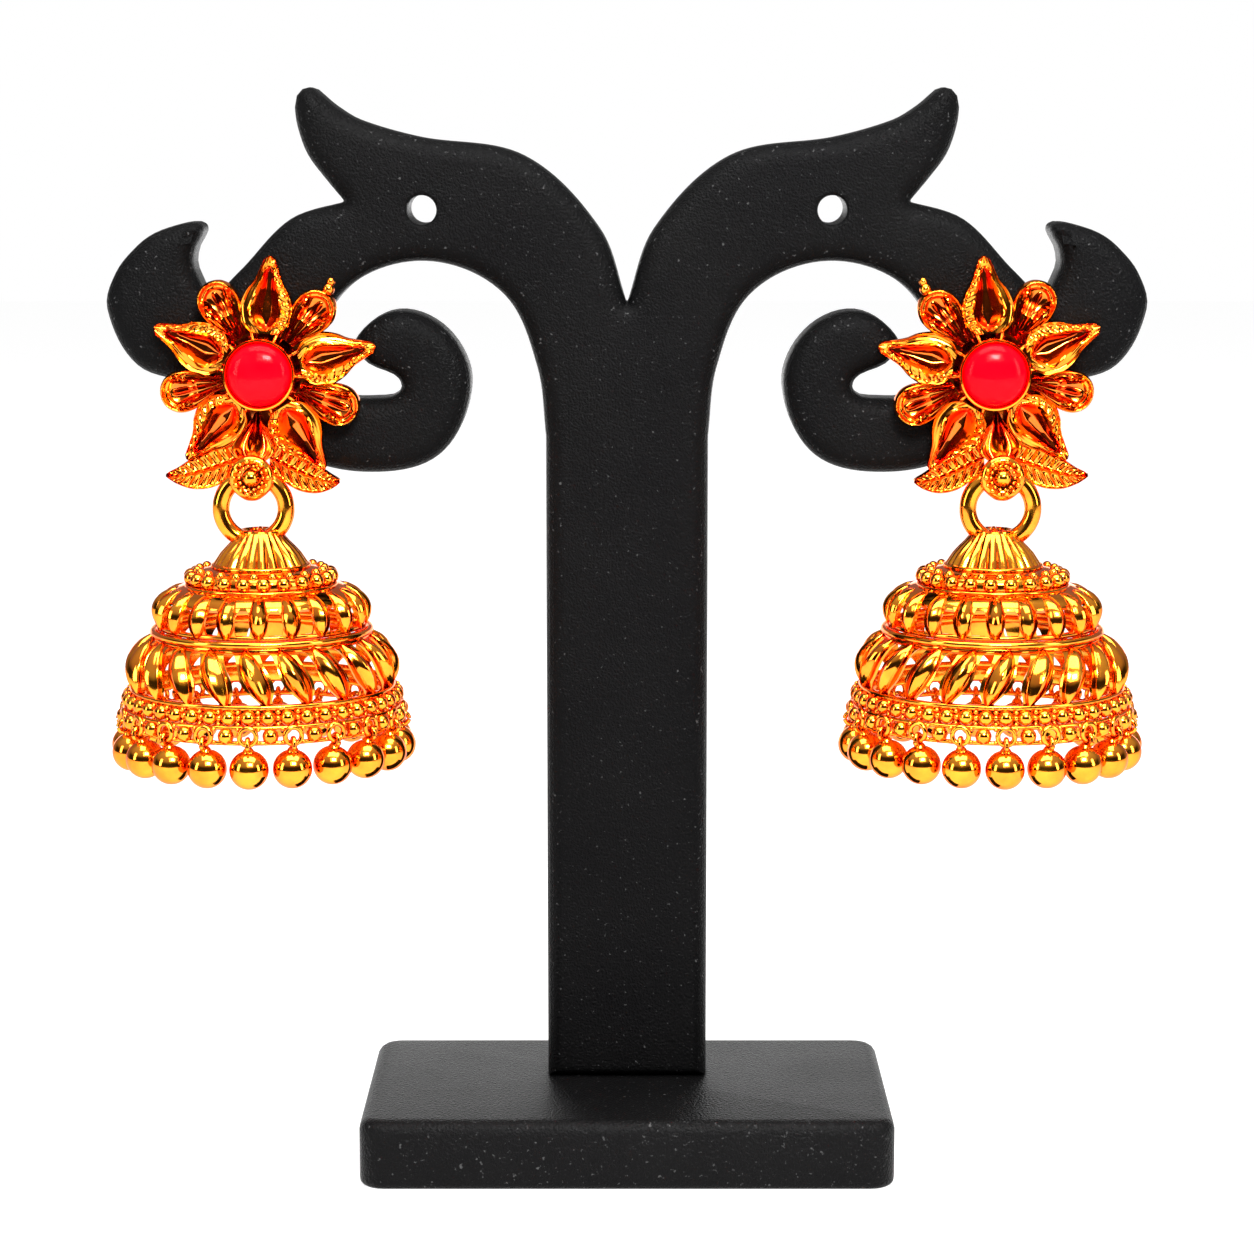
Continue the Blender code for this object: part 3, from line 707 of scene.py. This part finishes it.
def smooth_points(knots, step_length):
    """Points along a smooth curve through the knots, which turns sharply only at a corner."""
    found = []
    for i in range(len(knots) - 1):
        start = Vector(knots[i][:2])
        end = Vector(knots[i + 1][:2])
        before = start if i == 0 or knots[i][2] else Vector(knots[i - 1][:2])
        after = end if i + 2 >= len(knots) or knots[i + 1][2] else Vector(knots[i + 2][:2])
        reach = (end - start).length / 3
        leave = (end - before).normalized() * reach
        arrive = (after - start).normalized() * reach
        steps = max(1, round((end - start).length / step_length))
        for step in range(steps):
            share = step / steps
            rest = 1 - share
            found.append(
                start * rest**3
                + (start + leave) * (3 * rest**2 * share)
                + (end - arrive) * (3 * rest * share**2)
                + end * share**3
            )
    found.append(Vector(knots[-1][:2]))
    return found


def tree_outline():
    rise = STAND_HEIGHT - SPRING_HEIGHT
    knots = [(a * HALF_SPAN, SPRING_HEIGHT + up * rise, corner) for a, up, corner in SCROLL_KNOTS]
    right = [Vector((POST_HALF_WIDTH, BASE_THICKNESS))] + smooth_points(knots, OUTLINE_STEP)
    left = [Vector((-point.x, point.y)) for point in reversed(right[:-1])]
    return blunted(right + left)


def blunted(outline):
    """The outline with each sharp corner above the base drawn round."""
    count = len(outline)
    smooth = []
    for i, corner in enumerate(outline):
        before = (outline[i - 1] + corner) / 2
        after = (outline[(i + 1) % count] + corner) / 2
        if corner.y < SPRING_HEIGHT or (corner - before).angle(after - corner) < CORNER_TURN:
            smooth.append(corner)
            continue
        for step in range(CORNER_STEPS + 1):
            share = step / CORNER_STEPS
            rest = 1 - share
            smooth.append(before * rest**2 + corner * (2 * rest * share) + after * share**2)
    return smooth


def inward_normals(outline):
    """The direction into the outline at each of its points."""
    count = len(outline)
    normals = []
    for i in range(count):
        into = (outline[i] - outline[i - 1]).normalized()
        out = (outline[(i + 1) % count] - outline[i]).normalized()
        heading = into + out
        normals.append(Vector((-heading.y, heading.x)).normalized())
    return normals


def room_inward(outline, i, normal):
    """How far the outline's opposite side lies along the inward normal of one of its points."""
    nearest = STAND_HEIGHT
    start = outline[i]
    count = len(outline)
    for j in range(count):
        if j in (i, (i - 1) % count):
            continue
        a = outline[j]
        edge = outline[(j + 1) % count] - a
        across = normal.x * edge.y - normal.y * edge.x
        if abs(across) < 1e-9:
            continue
        offset = a - start
        along = (offset.x * edge.y - offset.y * edge.x) / across
        share = (offset.x * normal.y - offset.y * normal.x) / across
        if along > 1e-3 and -1e-6 <= share <= 1 + 1e-6:
            nearest = min(nearest, along)
    return nearest


def filled(edge, mouths):
    """Points and triangles of the flat face inside an edge, with round mouths left open."""
    flat = list(edge)
    loops = [(0, len(edge))]
    for mouth in mouths:
        loops.append((len(flat), len(mouth)))
        flat += mouth
    edges = []
    for start, count in loops:
        edges += [(start + i, start + (i + 1) % count) for i in range(count)]
    points, _, triangles = delaunay_2d_cdt(flat, edges, [list(range(len(edge)))], 1, 1e-5)[:3]
    kept = []
    for triangle in triangles:
        middle = sum((points[i] for i in triangle), Vector((0, 0))) / 3
        if all((middle - sum(m, Vector((0, 0))) / len(m)).length > SPARE_HOLE_RADIUS for m in mouths):
            kept.append(tuple(triangle))
    return points, kept


def edge_profile(rounding, spread, thickness, steps):
    """Columns: distance outwards or inwards at the edge, depth, from the front face to the back."""
    profile = []
    for step in range(steps + 1):
        angle = step / steps * math.pi / 2
        profile.append((spread * (1 - math.sin(angle)), rounding * (1 - math.cos(angle))))
    return profile + [(away, thickness - depth) for away, depth in reversed(profile)]


def make_tree(look):
    outline = tree_outline()
    normals = inward_normals(outline)
    depths = [
        min(TREE_EDGE, NARROW_SHARE * room_inward(outline, i, normals[i]))
        for i in range(len(outline))
    ]
    count = len(outline)
    for _ in range(EDGE_SMOOTHINGS):
        depths = [
            (depths[i - 1] + 2 * depths[i] + depths[(i + 1) % count]) / 4 for i in range(count)
        ]
    rings = [
        [
            Vector((p.x + n.x * d * inward, depth, p.y + n.y * d * inward))
            for p, n, d in zip(outline, normals, depths)
        ]
        for inward, depth in edge_profile(TREE_EDGE, 1.0, TREE_THICKNESS, EDGE_STEPS)
    ]
    tree = Shape()
    tree.grid(rings, wrap_columns=True)
    flare = edge_profile(HOLE_ROUNDING, HOLE_ROUNDING, TREE_THICKNESS, HOLE_STEPS)
    around = [TURN * i / HOLE_SIDES for i in range(HOLE_SIDES)]
    mouths = []
    for side in (-1, 1):
        centre = Vector((side * SPARE_HOLE[0], SPARE_HOLE[1]))
        turned = []
        for outward, depth in flare:
            radius = SPARE_HOLE_RADIUS + outward
            circle = [centre + radius * Vector((math.cos(a), math.sin(a))) for a in around]
            turned.append([Vector((p.x, depth, p.y)) for p in circle])
        tree.grid(turned, wrap_columns=True)
        mouths.append([Vector((p.x, p.z)) for p in turned[0]])
    edge = [Vector((p.x, p.z)) for p in rings[0]]
    flat, triangles = filled(edge, mouths)
    for depth in (0.0, TREE_THICKNESS):
        tree.add([Vector((p.x, depth, p.y)) for p in flat], triangles)
    tree.piece("stand_tree_skin", 1, look, "stand", 40, ("stand_tree",))


def make_base(look):
    base = Shape()
    rows = []
    under = BASE_EDGE * BASE_UNDER_SHARE
    levels = edge_profile(under, under, BASE_THICKNESS, BASE_EDGE_STEPS)[: BASE_EDGE_STEPS + 1]
    levels += edge_profile(BASE_EDGE, BASE_EDGE, BASE_THICKNESS, BASE_EDGE_STEPS)[BASE_EDGE_STEPS + 1 :]
    for inward, height in levels:
        ring = []
        for quarter in range(4):
            towards = (quarter + 0.5) * math.pi / 2
            cx = math.copysign(BASE_WIDTH / 2 - BASE_CORNER, math.cos(towards))
            cy = math.copysign(BASE_DEPTH / 2 - BASE_CORNER, math.sin(towards))
            for step in range(BASE_CORNER_STEPS + 1):
                angle = (quarter + step / BASE_CORNER_STEPS) * math.pi / 2
                reach = BASE_CORNER - inward
                ring.append(
                    Vector((cx + reach * math.cos(angle), cy + reach * math.sin(angle), height))
                )
        rows.append(ring)
    base.grid(rows, wrap_columns=True)
    wide = len(rows[0])
    base.faces.append(tuple(reversed(range(wide))))
    base.faces.append(tuple(range((len(rows) - 1) * wide, len(rows) * wide)))
    base.piece("stand_base_skin", 1, look, "stand", 35, ("stand_base",))


def petal(shape, outline, length, half_width, relief, level, tilt, back, matrix, line=None):
    """A petal in the flower's plane: X along it, Y across, Z to the front. The line bends it."""
    along = PETAL_STEPS
    across = PETAL_STEPS_ACROSS
    rows = []
    recessed = []
    first = outline[0][0]
    for i in range(along + 1):
        u = first + (1 - first) * i / along
        width = share_at(outline, u) * half_width
        row = []
        edge = share_at(line, u) if line else 0.0
        row.append(Vector((u * length, edge - width * 0.97, back)))
        recessed.append(0.0)
        for j in range(across + 1):
            v = -1 + 2 * j / across
            raised = relief(u, v)
            # Points below RECESS_FROM in the relief get the gold's painted red shade.
            recessed.append(min(1.0, max(0.0, (RECESS_FROM - raised) / RECESS_RANGE)))
            height = level - u * length * math.tan(tilt) + raised
            lowest = max(back + 0.1, PLATE_COVER - 0.15 * max(0.0, u * length - PLATE_RADIUS))
            row.append(Vector((u * length, edge + v * width, max(height, lowest))))
        row.append(Vector((u * length, edge + width * 0.97, back)))
        recessed.append(0.0)
        rows.append(row)
    shape.grid(rows, matrix, wrap_columns=True, recessed=recessed)
    wide = len(rows[0])
    start = len(shape.points) - wide * len(rows)
    shape.faces.append(tuple(start + j for j in range(wide)))
    shape.faces.append(tuple(start + wide * along + wide - 1 - j for j in range(wide)))


def pointed_relief(u, v):
    """A raised outline, a smooth slope with veins on one half, and a ridge round a dark slit."""
    away = abs(v)
    slit = max(0.0, share_at(SLIT, u)) if SLIT[0][0] < u < SLIT[-1][0] else 0.0
    height = 0.55 + 0.42 * hump(away, 0.93, 0.07) + 0.20 * hump(away, 0.66, 0.14)
    if slit > 0:
        height += 0.30 * hump(away, slit + 0.10, 0.06)
        if away < slit:
            height -= 1.15 * (1 - (away / slit) ** 2) * min(1.0, slit / 0.2)
    if u > 0.88:
        height += 0.35 * hump(away, 0.0, 0.5) * min(1.0, (u - 0.88) / 0.06)
    if v > 0 and away > slit:
        height += 0.13 * math.sin(u * 78 + away * 9) * hump(away, 0.70, 0.20)
    return height


def rounded_relief(u, v):
    """A rimmed disc with a hollow, and three ribs that spread from the flower's middle."""
    along = u * ROUNDED_SIZE[0]
    side = v * share_at(ROUNDED, u) * ROUNDED_SIZE[1]
    from_disc = math.hypot(along - DISC_CENTRE, side) / DISC_RADIUS
    edge = from_disc if along > DISC_CENTRE else abs(v)
    height = 0.48 + 0.72 * hump(edge, 0.90, 0.10) + 0.25 * hump(edge, 0.68, 0.06)
    height -= 0.60 * max(0.0, 1 - (from_disc / 0.8) ** 2)
    spread = math.atan2(side, along - 3.4)
    fade = min(1.0, max(0.0, (DISC_CENTRE + 1.0 - along) / 0.8))
    for centre in (-0.24, 0.0, 0.24):
        height += 1.0 * hump(spread, centre, 0.032) * fade
    return height


def lobe_relief(u, v):
    """A raised outline with one tall rib down the middle."""
    away = abs(v)
    side = away * share_at(LOBED, u) * LOBE_SIZE[1]
    hollow = 0.75 * hump(away, 0.48, 0.22)
    return 0.6 + 0.6 * hump(away, 0.90, 0.11) + 0.6 * hump(side, 0.0, 0.17) - hollow


def leaf_relief(u, v):
    """A mid rib with slanted veins on both halves, and a thin raised edge."""
    away = abs(v)
    height = 0.50 + 0.45 * hump(away, 0.0, 0.07) + 0.30 * hump(away, 0.95, 0.06)
    veins = math.sin(u * 52 - away * 6)
    return height + 0.17 * veins * hump(away, 0.5, 0.34)


def make_flower(side, name, look):
    flower = Shape()
    face = Matrix.Translation(STUD) @ FACING_FRONT
    plate = rounded_loop(0.6, PLATE_RADIUS, 0.3, PLATE_COVER - 0.05, 0.3)
    flower.lathe(plate, 64, face)
    forms = [(POINTED, POINTED_SIZE, pointed_relief, 2.0, 7, 0.35, angle) for angle in POINTED_ANGLES]
    forms += [(ROUNDED, ROUNDED_SIZE, rounded_relief, 1.75, 3, 0.4, angle) for angle in ROUND_ANGLES]
    forms.append((LOBED, LOBE_SIZE, lobe_relief, 0.9, -23, 0.45, LOBE_ANGLE))
    for outline, size, relief, level, tilt, back, angle in forms:
        place = face @ Matrix.Rotation(math.radians(angle) + FLOWER_ROLL, 4, "Z")
        petal(flower, outline, *size, relief, level, math.radians(tilt), back, place)
    for turn in (-1, 1):
        place = Matrix.Translation((PIVOT.x + turn * LEAF_START, 0, PIVOT.z)) @ FACING_FRONT
        flip = Matrix.Diagonal((turn, 1, 1, 1))
        line = [(share, height - share * LEAF_DROPS[turn]) for share, height in LEAF_LINE]
        petal(flower, LEAFY, LEAF_LENGTHS[turn], 1.0, leaf_relief, 0.9, 0.0, 0.35, place @ flip, line)

    for i in range(BEZEL_BARS):
        angle = TURN * i / BEZEL_BARS + FLOWER_ROLL
        start, bead, end = (
            STUD + Vector((reach * math.cos(angle), depth, reach * math.sin(angle)))
            for reach, depth in (BAR_START, BAR_BEAD, BAR_END)
        )
        flower.tube([start, end], BAR_WIRE, 8)
        flower.ball(bead, BAR_BEAD_RADIUS, 12, 7)
    nub = STUD + NUB
    flower.ball(nub, 0.62, 14, 8)
    flower.ball(nub + NUB_TIP, 0.45, 14, 8)

    flower.lathe(BEZEL, 72, face)
    cup = Matrix.Translation((PIVOT.x, 0, PIVOT.z)) @ FACING_FRONT
    flower.lathe(ROSETTE, 56, cup, wave=lambda a, h: 1 + 0.05 * hump(math.cos(a + math.pi / 2), 1, 0.1))
    flower.ball(PIVOT + Vector((0, ROSETTE_DEPTH, 0)), ROSETTE_BALL, 24, 14)
    for i in range(ROSETTE_BEADS):
        angle = TURN * i / ROSETTE_BEADS
        reach = Vector((1.72 * math.cos(angle), ROSETTE_DEPTH, 1.72 * math.sin(angle)))
        flower.ball(PIVOT + reach, 0.30 if i % 2 else 0.22, 10, 6)
        inner = Vector((1.22 * math.cos(angle), -1.8, 1.22 * math.sin(angle)))
        flower.ball(PIVOT + inner, 0.20, 8, 5)
    eye = Matrix.Translation(PIVOT) @ FACING_SIDE
    flower.torus(BAIL_RADIUS, BAIL_WIRE, 32, 12, eye)
    stem = Matrix.Translation((PIVOT.x, 0, PIVOT.z + 2.3))
    corners = [(-0.6, -5.3), (0.6, -5.3), (1.0, -0.4), (-1.0, -0.4)]
    rows = [[Vector((x, y, z)) for x, y in corners] for z in (-1.05, -0.4)]
    flower.grid(rows, stem, wrap_columns=True)
    start = len(flower.points) - 8
    flower.faces.append(tuple(start + i for i in (3, 2, 1, 0)))
    flower.faces.append(tuple(start + i for i in (4, 5, 6, 7)))
    flower.piece(name + "_cast_flower", side, look, "stand", 55, (name + "_stud_flower",))


def make_stone(side, name, look):
    stone = Shape()
    profile = [(0.01, STONE_FOOT), (STONE_RADIUS, STONE_FOOT), (STONE_RADIUS, STONE_SHOULDER)]
    dome = STONE_FRONT - STONE_SHOULDER
    for step in range(1, STONE_STEPS):
        angle = step / STONE_STEPS * math.pi / 2
        profile.append((STONE_RADIUS * math.cos(angle), STONE_SHOULDER + dome * math.sin(angle)))
    profile.append((0.01, STONE_FRONT))
    stone.lathe(profile, 64, Matrix.Translation(STUD) @ FACING_FRONT)
    stone.piece(name + "_cabochon", side, look, "stand", 60, (name + "_stone",))


def make_post(side, name, look):
    post = Shape()
    place = Matrix.Translation(STUD) @ FACING_FRONT
    behind = -TREE_THICKNESS - CLUTCH_GAP
    end = behind - CLUTCH_THICKNESS
    post.lathe(rounded_loop(0.01, PIN_RADIUS, end - PIN_TAIL, -0.05, 0.2), 24, place)
    clutch = rounded_loop(0.4, CLUTCH_RADIUS, end, behind, 0.35)
    post.lathe(clutch, 48, place, wave=lambda a, h: 1 - 0.03 * abs(math.cos(6 * a)))
    post.piece(name + "_pin_and_clutch", side, look, "stand", 50, (name + "_ear_post",))


def make_ring(side, name, look, body):
    ring = Shape()
    centre = PIVOT - Vector((0, 0, RING_RADIUS))
    ring.torus(RING_RADIUS, RING_WIRE, 72, 22, Matrix.Translation(centre) @ FACING_FRONT)
    ring.piece(name + "_link_ring", side, look, body, 60, (name + "_hanger_ring",))


def bell_point(radius, angle, height):
    """A point round the bell's axis."""
    return BELL_AXIS + Vector((radius * math.cos(angle), radius * math.sin(angle), height))


def tier_at(tier, share):
    """The radius and height of a tier's face, a share of the way down."""
    place = share * (len(tier) - 1)
    i = min(int(place), len(tier) - 2)
    rest = place - i
    smooth = [(k, tier[k][0]) for k in range(len(tier))]
    radius = share_at(smooth, place)
    height = tier[i][1] * (1 - rest) + tier[i + 1][1] * rest
    return radius, height


def bead_rings(shape, count, rings):
    for reach, height, radius, turn, around, rows in rings:
        for i in range(count):
            place = bell_point(reach, TURN * (i + turn) / count, height)
            shape.ball(place, radius, around, rows)


def wire_ring(shape, ring, sides, wire_sides):
    radius, height, wire = ring
    shape.torus(radius, wire, sides, wire_sides, Matrix.Translation(BELL_AXIS + Vector((0, 0, height))))


def leaf_bar(shape, tier, centre, slant, size, widths):
    """A ridged leaf that spans a tier, standing proud of it, with open windows on both sides."""
    half_width, bulge = size
    rows = []
    for i in range(LEAF_STEPS + 1):
        t = i / LEAF_STEPS
        radius, height = tier_at(tier, t)
        width = half_width * share_at(widths, t)
        rise = bulge * math.sin(math.pi * min(1, max(0, 0.04 + 0.92 * t))) ** 0.7
        middle = centre + slant * t
        row = []
        for v in STATIONS:
            away = min(1.0, abs(v - LEAF_RIDGE) / (0.90 if v < LEAF_RIDGE else 0.78))
            lift = rise * (0.55 * (1 - away * away) + 0.45 * (1 - away))
            lift += 0.26 * hump(abs(v), 0.94, 0.05)
            row.append(bell_point(radius + lift, middle + v * width / radius, height))
        for v in (0.8, 0.0, -0.8):
            row.append(bell_point(radius - LEAF_THICKNESS, middle + v * width / radius, height))
        rows.append(row)
    shape.grid(rows, wrap_columns=True)
    wide = len(rows[0])
    start = len(shape.points) - wide * len(rows)
    shape.faces.append(tuple(start + j for j in range(wide)))
    shape.faces.append(tuple(start + wide * LEAF_STEPS + wide - 1 - j for j in range(wide)))


def sheet_bar(shape, tier, centre, slant, recess, widths):
    """The flat metal behind a leaf, whose edges shape the windows between the leaves."""
    behind = recess + SHEET_THICKNESS
    rows = []
    for i in range(SHEET_STEPS + 1):
        t = i / SHEET_STEPS
        radius, height = tier_at(tier, t)
        width = share_at(widths, t)
        middle = centre + slant * t
        row = []
        for depth, places in ((recess, (-1, -0.5, 0, 0.5, 1)), (behind, (0.95, 0, -0.95))):
            for v in places:
                row.append(bell_point(radius - depth, middle + v * width / radius, height))
        rows.append(row)
    shape.grid(rows, wrap_columns=True)


def make_crown(side, name, look, body):
    crown = Shape()
    place = Matrix.Translation(BELL_AXIS)
    inside = [(radius - CROWN_WALL, height - 0.25) for radius, height in reversed(CROWN)]

    def flutes(angle, height):
        depth = FLUTE_DEPTH * min(1.0, max(0.0, (FLUTE_TOP - height) / FLUTE_FADE))
        return 1 - depth + depth * abs(math.sin(CROWN_FLUTES / 2 * angle))

    crown.lathe(list(CROWN) + inside, CROWN_FLUTES * 10, place, wave=flutes)
    crown.lathe(rounded_loop(*CROWN_FOOT), 96, place)
    wire_ring(crown, CROWN_WIRE, 40, 10)
    drop = RING_RADIUS + math.sqrt(RING_RADIUS**2 - BELL_INWARD**2)
    bail = Vector((BELL_AXIS.x, BELL_AXIS.y, PIVOT.z - drop))
    facing = Matrix.Translation(bail) @ FACING_SIDE
    crown.torus(BELL_BAIL_RADIUS, BELL_BAIL_WIRE, 32, 12, facing)
    crown.piece(name + "_fluted_crown", side, look, body, 35, (name + "_bell",))


def make_collar(side, name, look, body):
    collar = Shape()
    collar.lathe(COLLAR, 120, Matrix.Translation(BELL_AXIS))
    bead_rings(collar, COLLAR_BEADS, COLLAR_RINGS)
    wire_ring(collar, COLLAR_WIRE, 120, 10)
    collar.piece(name + "_beaded_collar", side, look, body, 60, (name + "_bell",))


def make_tiers(side, name, look, body):
    place = Matrix.Translation(BELL_AXIS)
    upper = Shape()
    inner = [(radius - 0.5, height - 0.35) for radius, height in reversed(SHOULDER)]
    upper.lathe(list(SHOULDER) + inner, 120, place)
    upper.lathe(rounded_loop(*UPPER_FOOT), 120, place)
    for sector in range(SECTORS):
        centre = TURN * sector / SECTORS + UPPER_LEAF_TURN
        leaf_bar(upper, UPPER_TIER, centre, 0.0, UPPER_LEAF_SIZE, UPPER_LEAF)
        sheet_bar(upper, UPPER_TIER, centre, 0.0, UPPER_SHEET_DEPTH, UPPER_SHEET)
    upper.piece(name + "_upper_tier", side, look, body, 42, (name + "_bell",))

    band = Shape()
    band.lathe(rounded_loop(*PLAIN_BAND, 6), 144, place)
    band.piece(name + "_plain_band", side, look, body, 60, (name + "_bell",))

    lower = Shape()
    lower.lathe(rounded_loop(*LOWER_HEAD), 120, place)
    lower.lathe(rounded_loop(*LOWER_FOOT), 120, place)
    for sector in range(SECTORS):
        centre = TURN * sector / SECTORS + LOWER_LEAF_TURN
        leaf_bar(lower, LOWER_TIER, centre, SLANT, LOWER_LEAF_SIZE, LOWER_LEAF)
        sheet_bar(lower, LOWER_TIER, centre, SLANT, LOWER_SHEET_DEPTH, LOWER_SHEET)
    lower.piece(name + "_lower_tier", side, look, body, 42, (name + "_bell",))


def make_rows(side, name, look, body):
    rows = Shape()
    rows.lathe(rounded_loop(*ROW_BAND), 144, Matrix.Translation(BELL_AXIS))
    for ring in ROW_WIRES:
        wire_ring(rows, ring, 144, 8)
    bead_rings(rows, UPPER_BEADS, UPPER_RINGS)
    bead_rings(rows, SECTORS, LOWER_RINGS)
    for sector in range(SECTORS):
        angle = TURN * sector / SECTORS
        turned = Matrix.Rotation(angle, 4, "Z") @ FACING_SIDE
        eyelet = Matrix.Translation(bell_point(EYELET_REACH, angle, EYELET_HEIGHT)) @ turned
        rows.torus(EYELET_RADIUS, EYELET_WIRE, 26, 10, eyelet)
    rows.piece(name + "_bead_rows", side, look, body, 60, (name + "_bell",))


def make_drop(side, name, number, look, body):
    drop = Shape()
    angle = TURN * number / SECTORS
    ball = bell_point(DROP_REACH, angle, DROP_HEIGHT)
    drop.ball(ball, DROP_RADIUS, 36, 22)
    outward = Vector((math.cos(angle), math.sin(angle), 0))
    eyelet = bell_point(EYELET_REACH, angle, DROP_LOOP_HEIGHT)
    path = []
    for i in range(21):
        turn = math.pi * (-0.32 + 1.64 * i / 20)
        reach = DROP_LOOP * math.cos(turn)
        rise = DROP_LOOP * math.sin(turn)
        path.append(eyelet + outward * reach + Vector((0, 0, rise)))
    top = ball + Vector((0, 0, DROP_RADIUS - 0.25)) + outward * 0.35
    drop.tube([top] + path + [top], DROP_WIRE, 10)
    neck = ball + outward * 0.3 + Vector((0, 0, DROP_RADIUS - 0.16))
    drop.lathe(DROP_NECK, 20, Matrix.Translation(neck), closed=False)
    node = "%s_drop_%02d" % (name, number + 1)
    drop.piece("%s_ball_%02d" % (name, number + 1), side, look, body, 60, (node,))


def make_earrings():
    # The last two numbers are the reach and the strength of the painted shade in the hollows.
    cast = gold_material("cast gold", 1300.0, 0.10, 0.10, 1.7, 0.7)
    polished = gold_material("polished gold", 700.0, 0.10, 0.10, 0.9, 0.6)
    red = stone_material()
    for side, name in ((-1, "left"), (1, "right")):
        body = name + "_hanging"
        make_flower(side, name, cast)
        make_stone(side, name, red)
        make_post(side, name, polished)
        make_ring(side, name, polished, body)
        make_crown(side, name, polished, body)
        make_collar(side, name, polished, body)
        make_tiers(side, name, polished, body)
        make_rows(side, name, polished, body)
        for number in range(SECTORS):
            make_drop(side, name, number, polished, body)


def make_camera():
    data = bpy.data.cameras.new("camera")
    data.lens = CAMERA_LENS
    data.sensor_width = 36.0
    camera = bpy.data.objects.new("camera", data)
    camera.location = CAMERA_PLACE
    camera.rotation_euler = (math.radians(90 - CAMERA_DIP), 0, 0)
    bpy.context.scene.collection.objects.link(camera)
    bpy.context.scene.camera = camera


def area_light(name, place, target, size, power):
    data = bpy.data.lights.new(name, "AREA")
    data.shape = "RECTANGLE"
    data.size, data.size_y = size
    data.energy = power
    light = bpy.data.objects.new(name, data)
    light.location = place
    aim = Vector(target) - Vector(place)
    light.rotation_euler = aim.to_track_quat("-Z", "Y").to_euler()
    light.visible_camera = False
    bpy.context.scene.collection.objects.link(light)


def make_floor():
    floor = Shape()
    ends = (-FLOOR_FRONT, FLOOR_REACH)
    floor.grid([[Vector((x, y, 0.0)) for x in (-FLOOR_REACH, FLOOR_REACH)] for y in ends])
    mesh = bpy.data.meshes.new("floor")
    mesh.from_pydata([(p.x * MM, p.y * MM, p.z * MM) for p in floor.points], [], floor.faces)
    mesh.materials.append(floor_material())
    ground = bpy.data.objects.new("floor", mesh)
    bpy.context.scene.collection.objects.link(ground)


def make_world():
    """White where the camera looks past the floor, and a room in bands of grey for reflections."""
    world = bpy.data.worlds.new("studio")
    bpy.context.scene.world = world
    world.use_nodes = True
    tree = world.node_tree
    tree.nodes.clear()
    place = tree.nodes.new("ShaderNodeTexCoord")
    split = tree.nodes.new("ShaderNodeSeparateXYZ")
    tree.links.new(place.outputs["Generated"], split.inputs["Vector"])
    bands = tree.nodes.new("ShaderNodeValToRGB")
    stops = bands.color_ramp.elements
    for position, level in ROOM_BANDS:
        ends = {0.0: stops[0], 1.0: stops[-1]}
        stop = ends.get(position) or stops.new(position)
        stop.color = (level, level, level, 1)
    height = map_range(tree, split.outputs["Z"], -1.0, 1.0, 0.0, 1.0)
    tree.links.new(height, bands.inputs["Fac"])
    behind = map_range(tree, split.outputs["Y"], 0.15, 0.55, 0.0, 1.0)
    room = mixed(tree, "MIX", behind, bands.outputs["Color"], (REAR_WALL, REAR_WALL, REAR_WALL, 1))

    around = tree.nodes.new("ShaderNodeBackground")
    tree.links.new(room, around.inputs["Color"])
    seen = tree.nodes.new("ShaderNodeBackground")
    seen.inputs["Color"].default_value = (1, 1, 1, 1)
    path = tree.nodes.new("ShaderNodeLightPath")
    choice = tree.nodes.new("ShaderNodeMixShader")
    tree.links.new(path.outputs["Is Camera Ray"], choice.inputs["Fac"])
    tree.links.new(around.outputs["Background"], choice.inputs[1])
    tree.links.new(seen.outputs["Background"], choice.inputs[2])
    output = tree.nodes.new("ShaderNodeOutputWorld")
    tree.links.new(choice.outputs["Shader"], output.inputs["Surface"])


def make_studio():
    make_floor()
    for light in LIGHTS:
        area_light(*light)
    make_world()
    bpy.context.scene.view_settings.view_transform = "Standard"


make_camera()
make_tree(leatherette_material("black leatherette", 0.035))
make_base(leatherette_material("base leatherette", 0.06))
make_earrings()
make_studio()
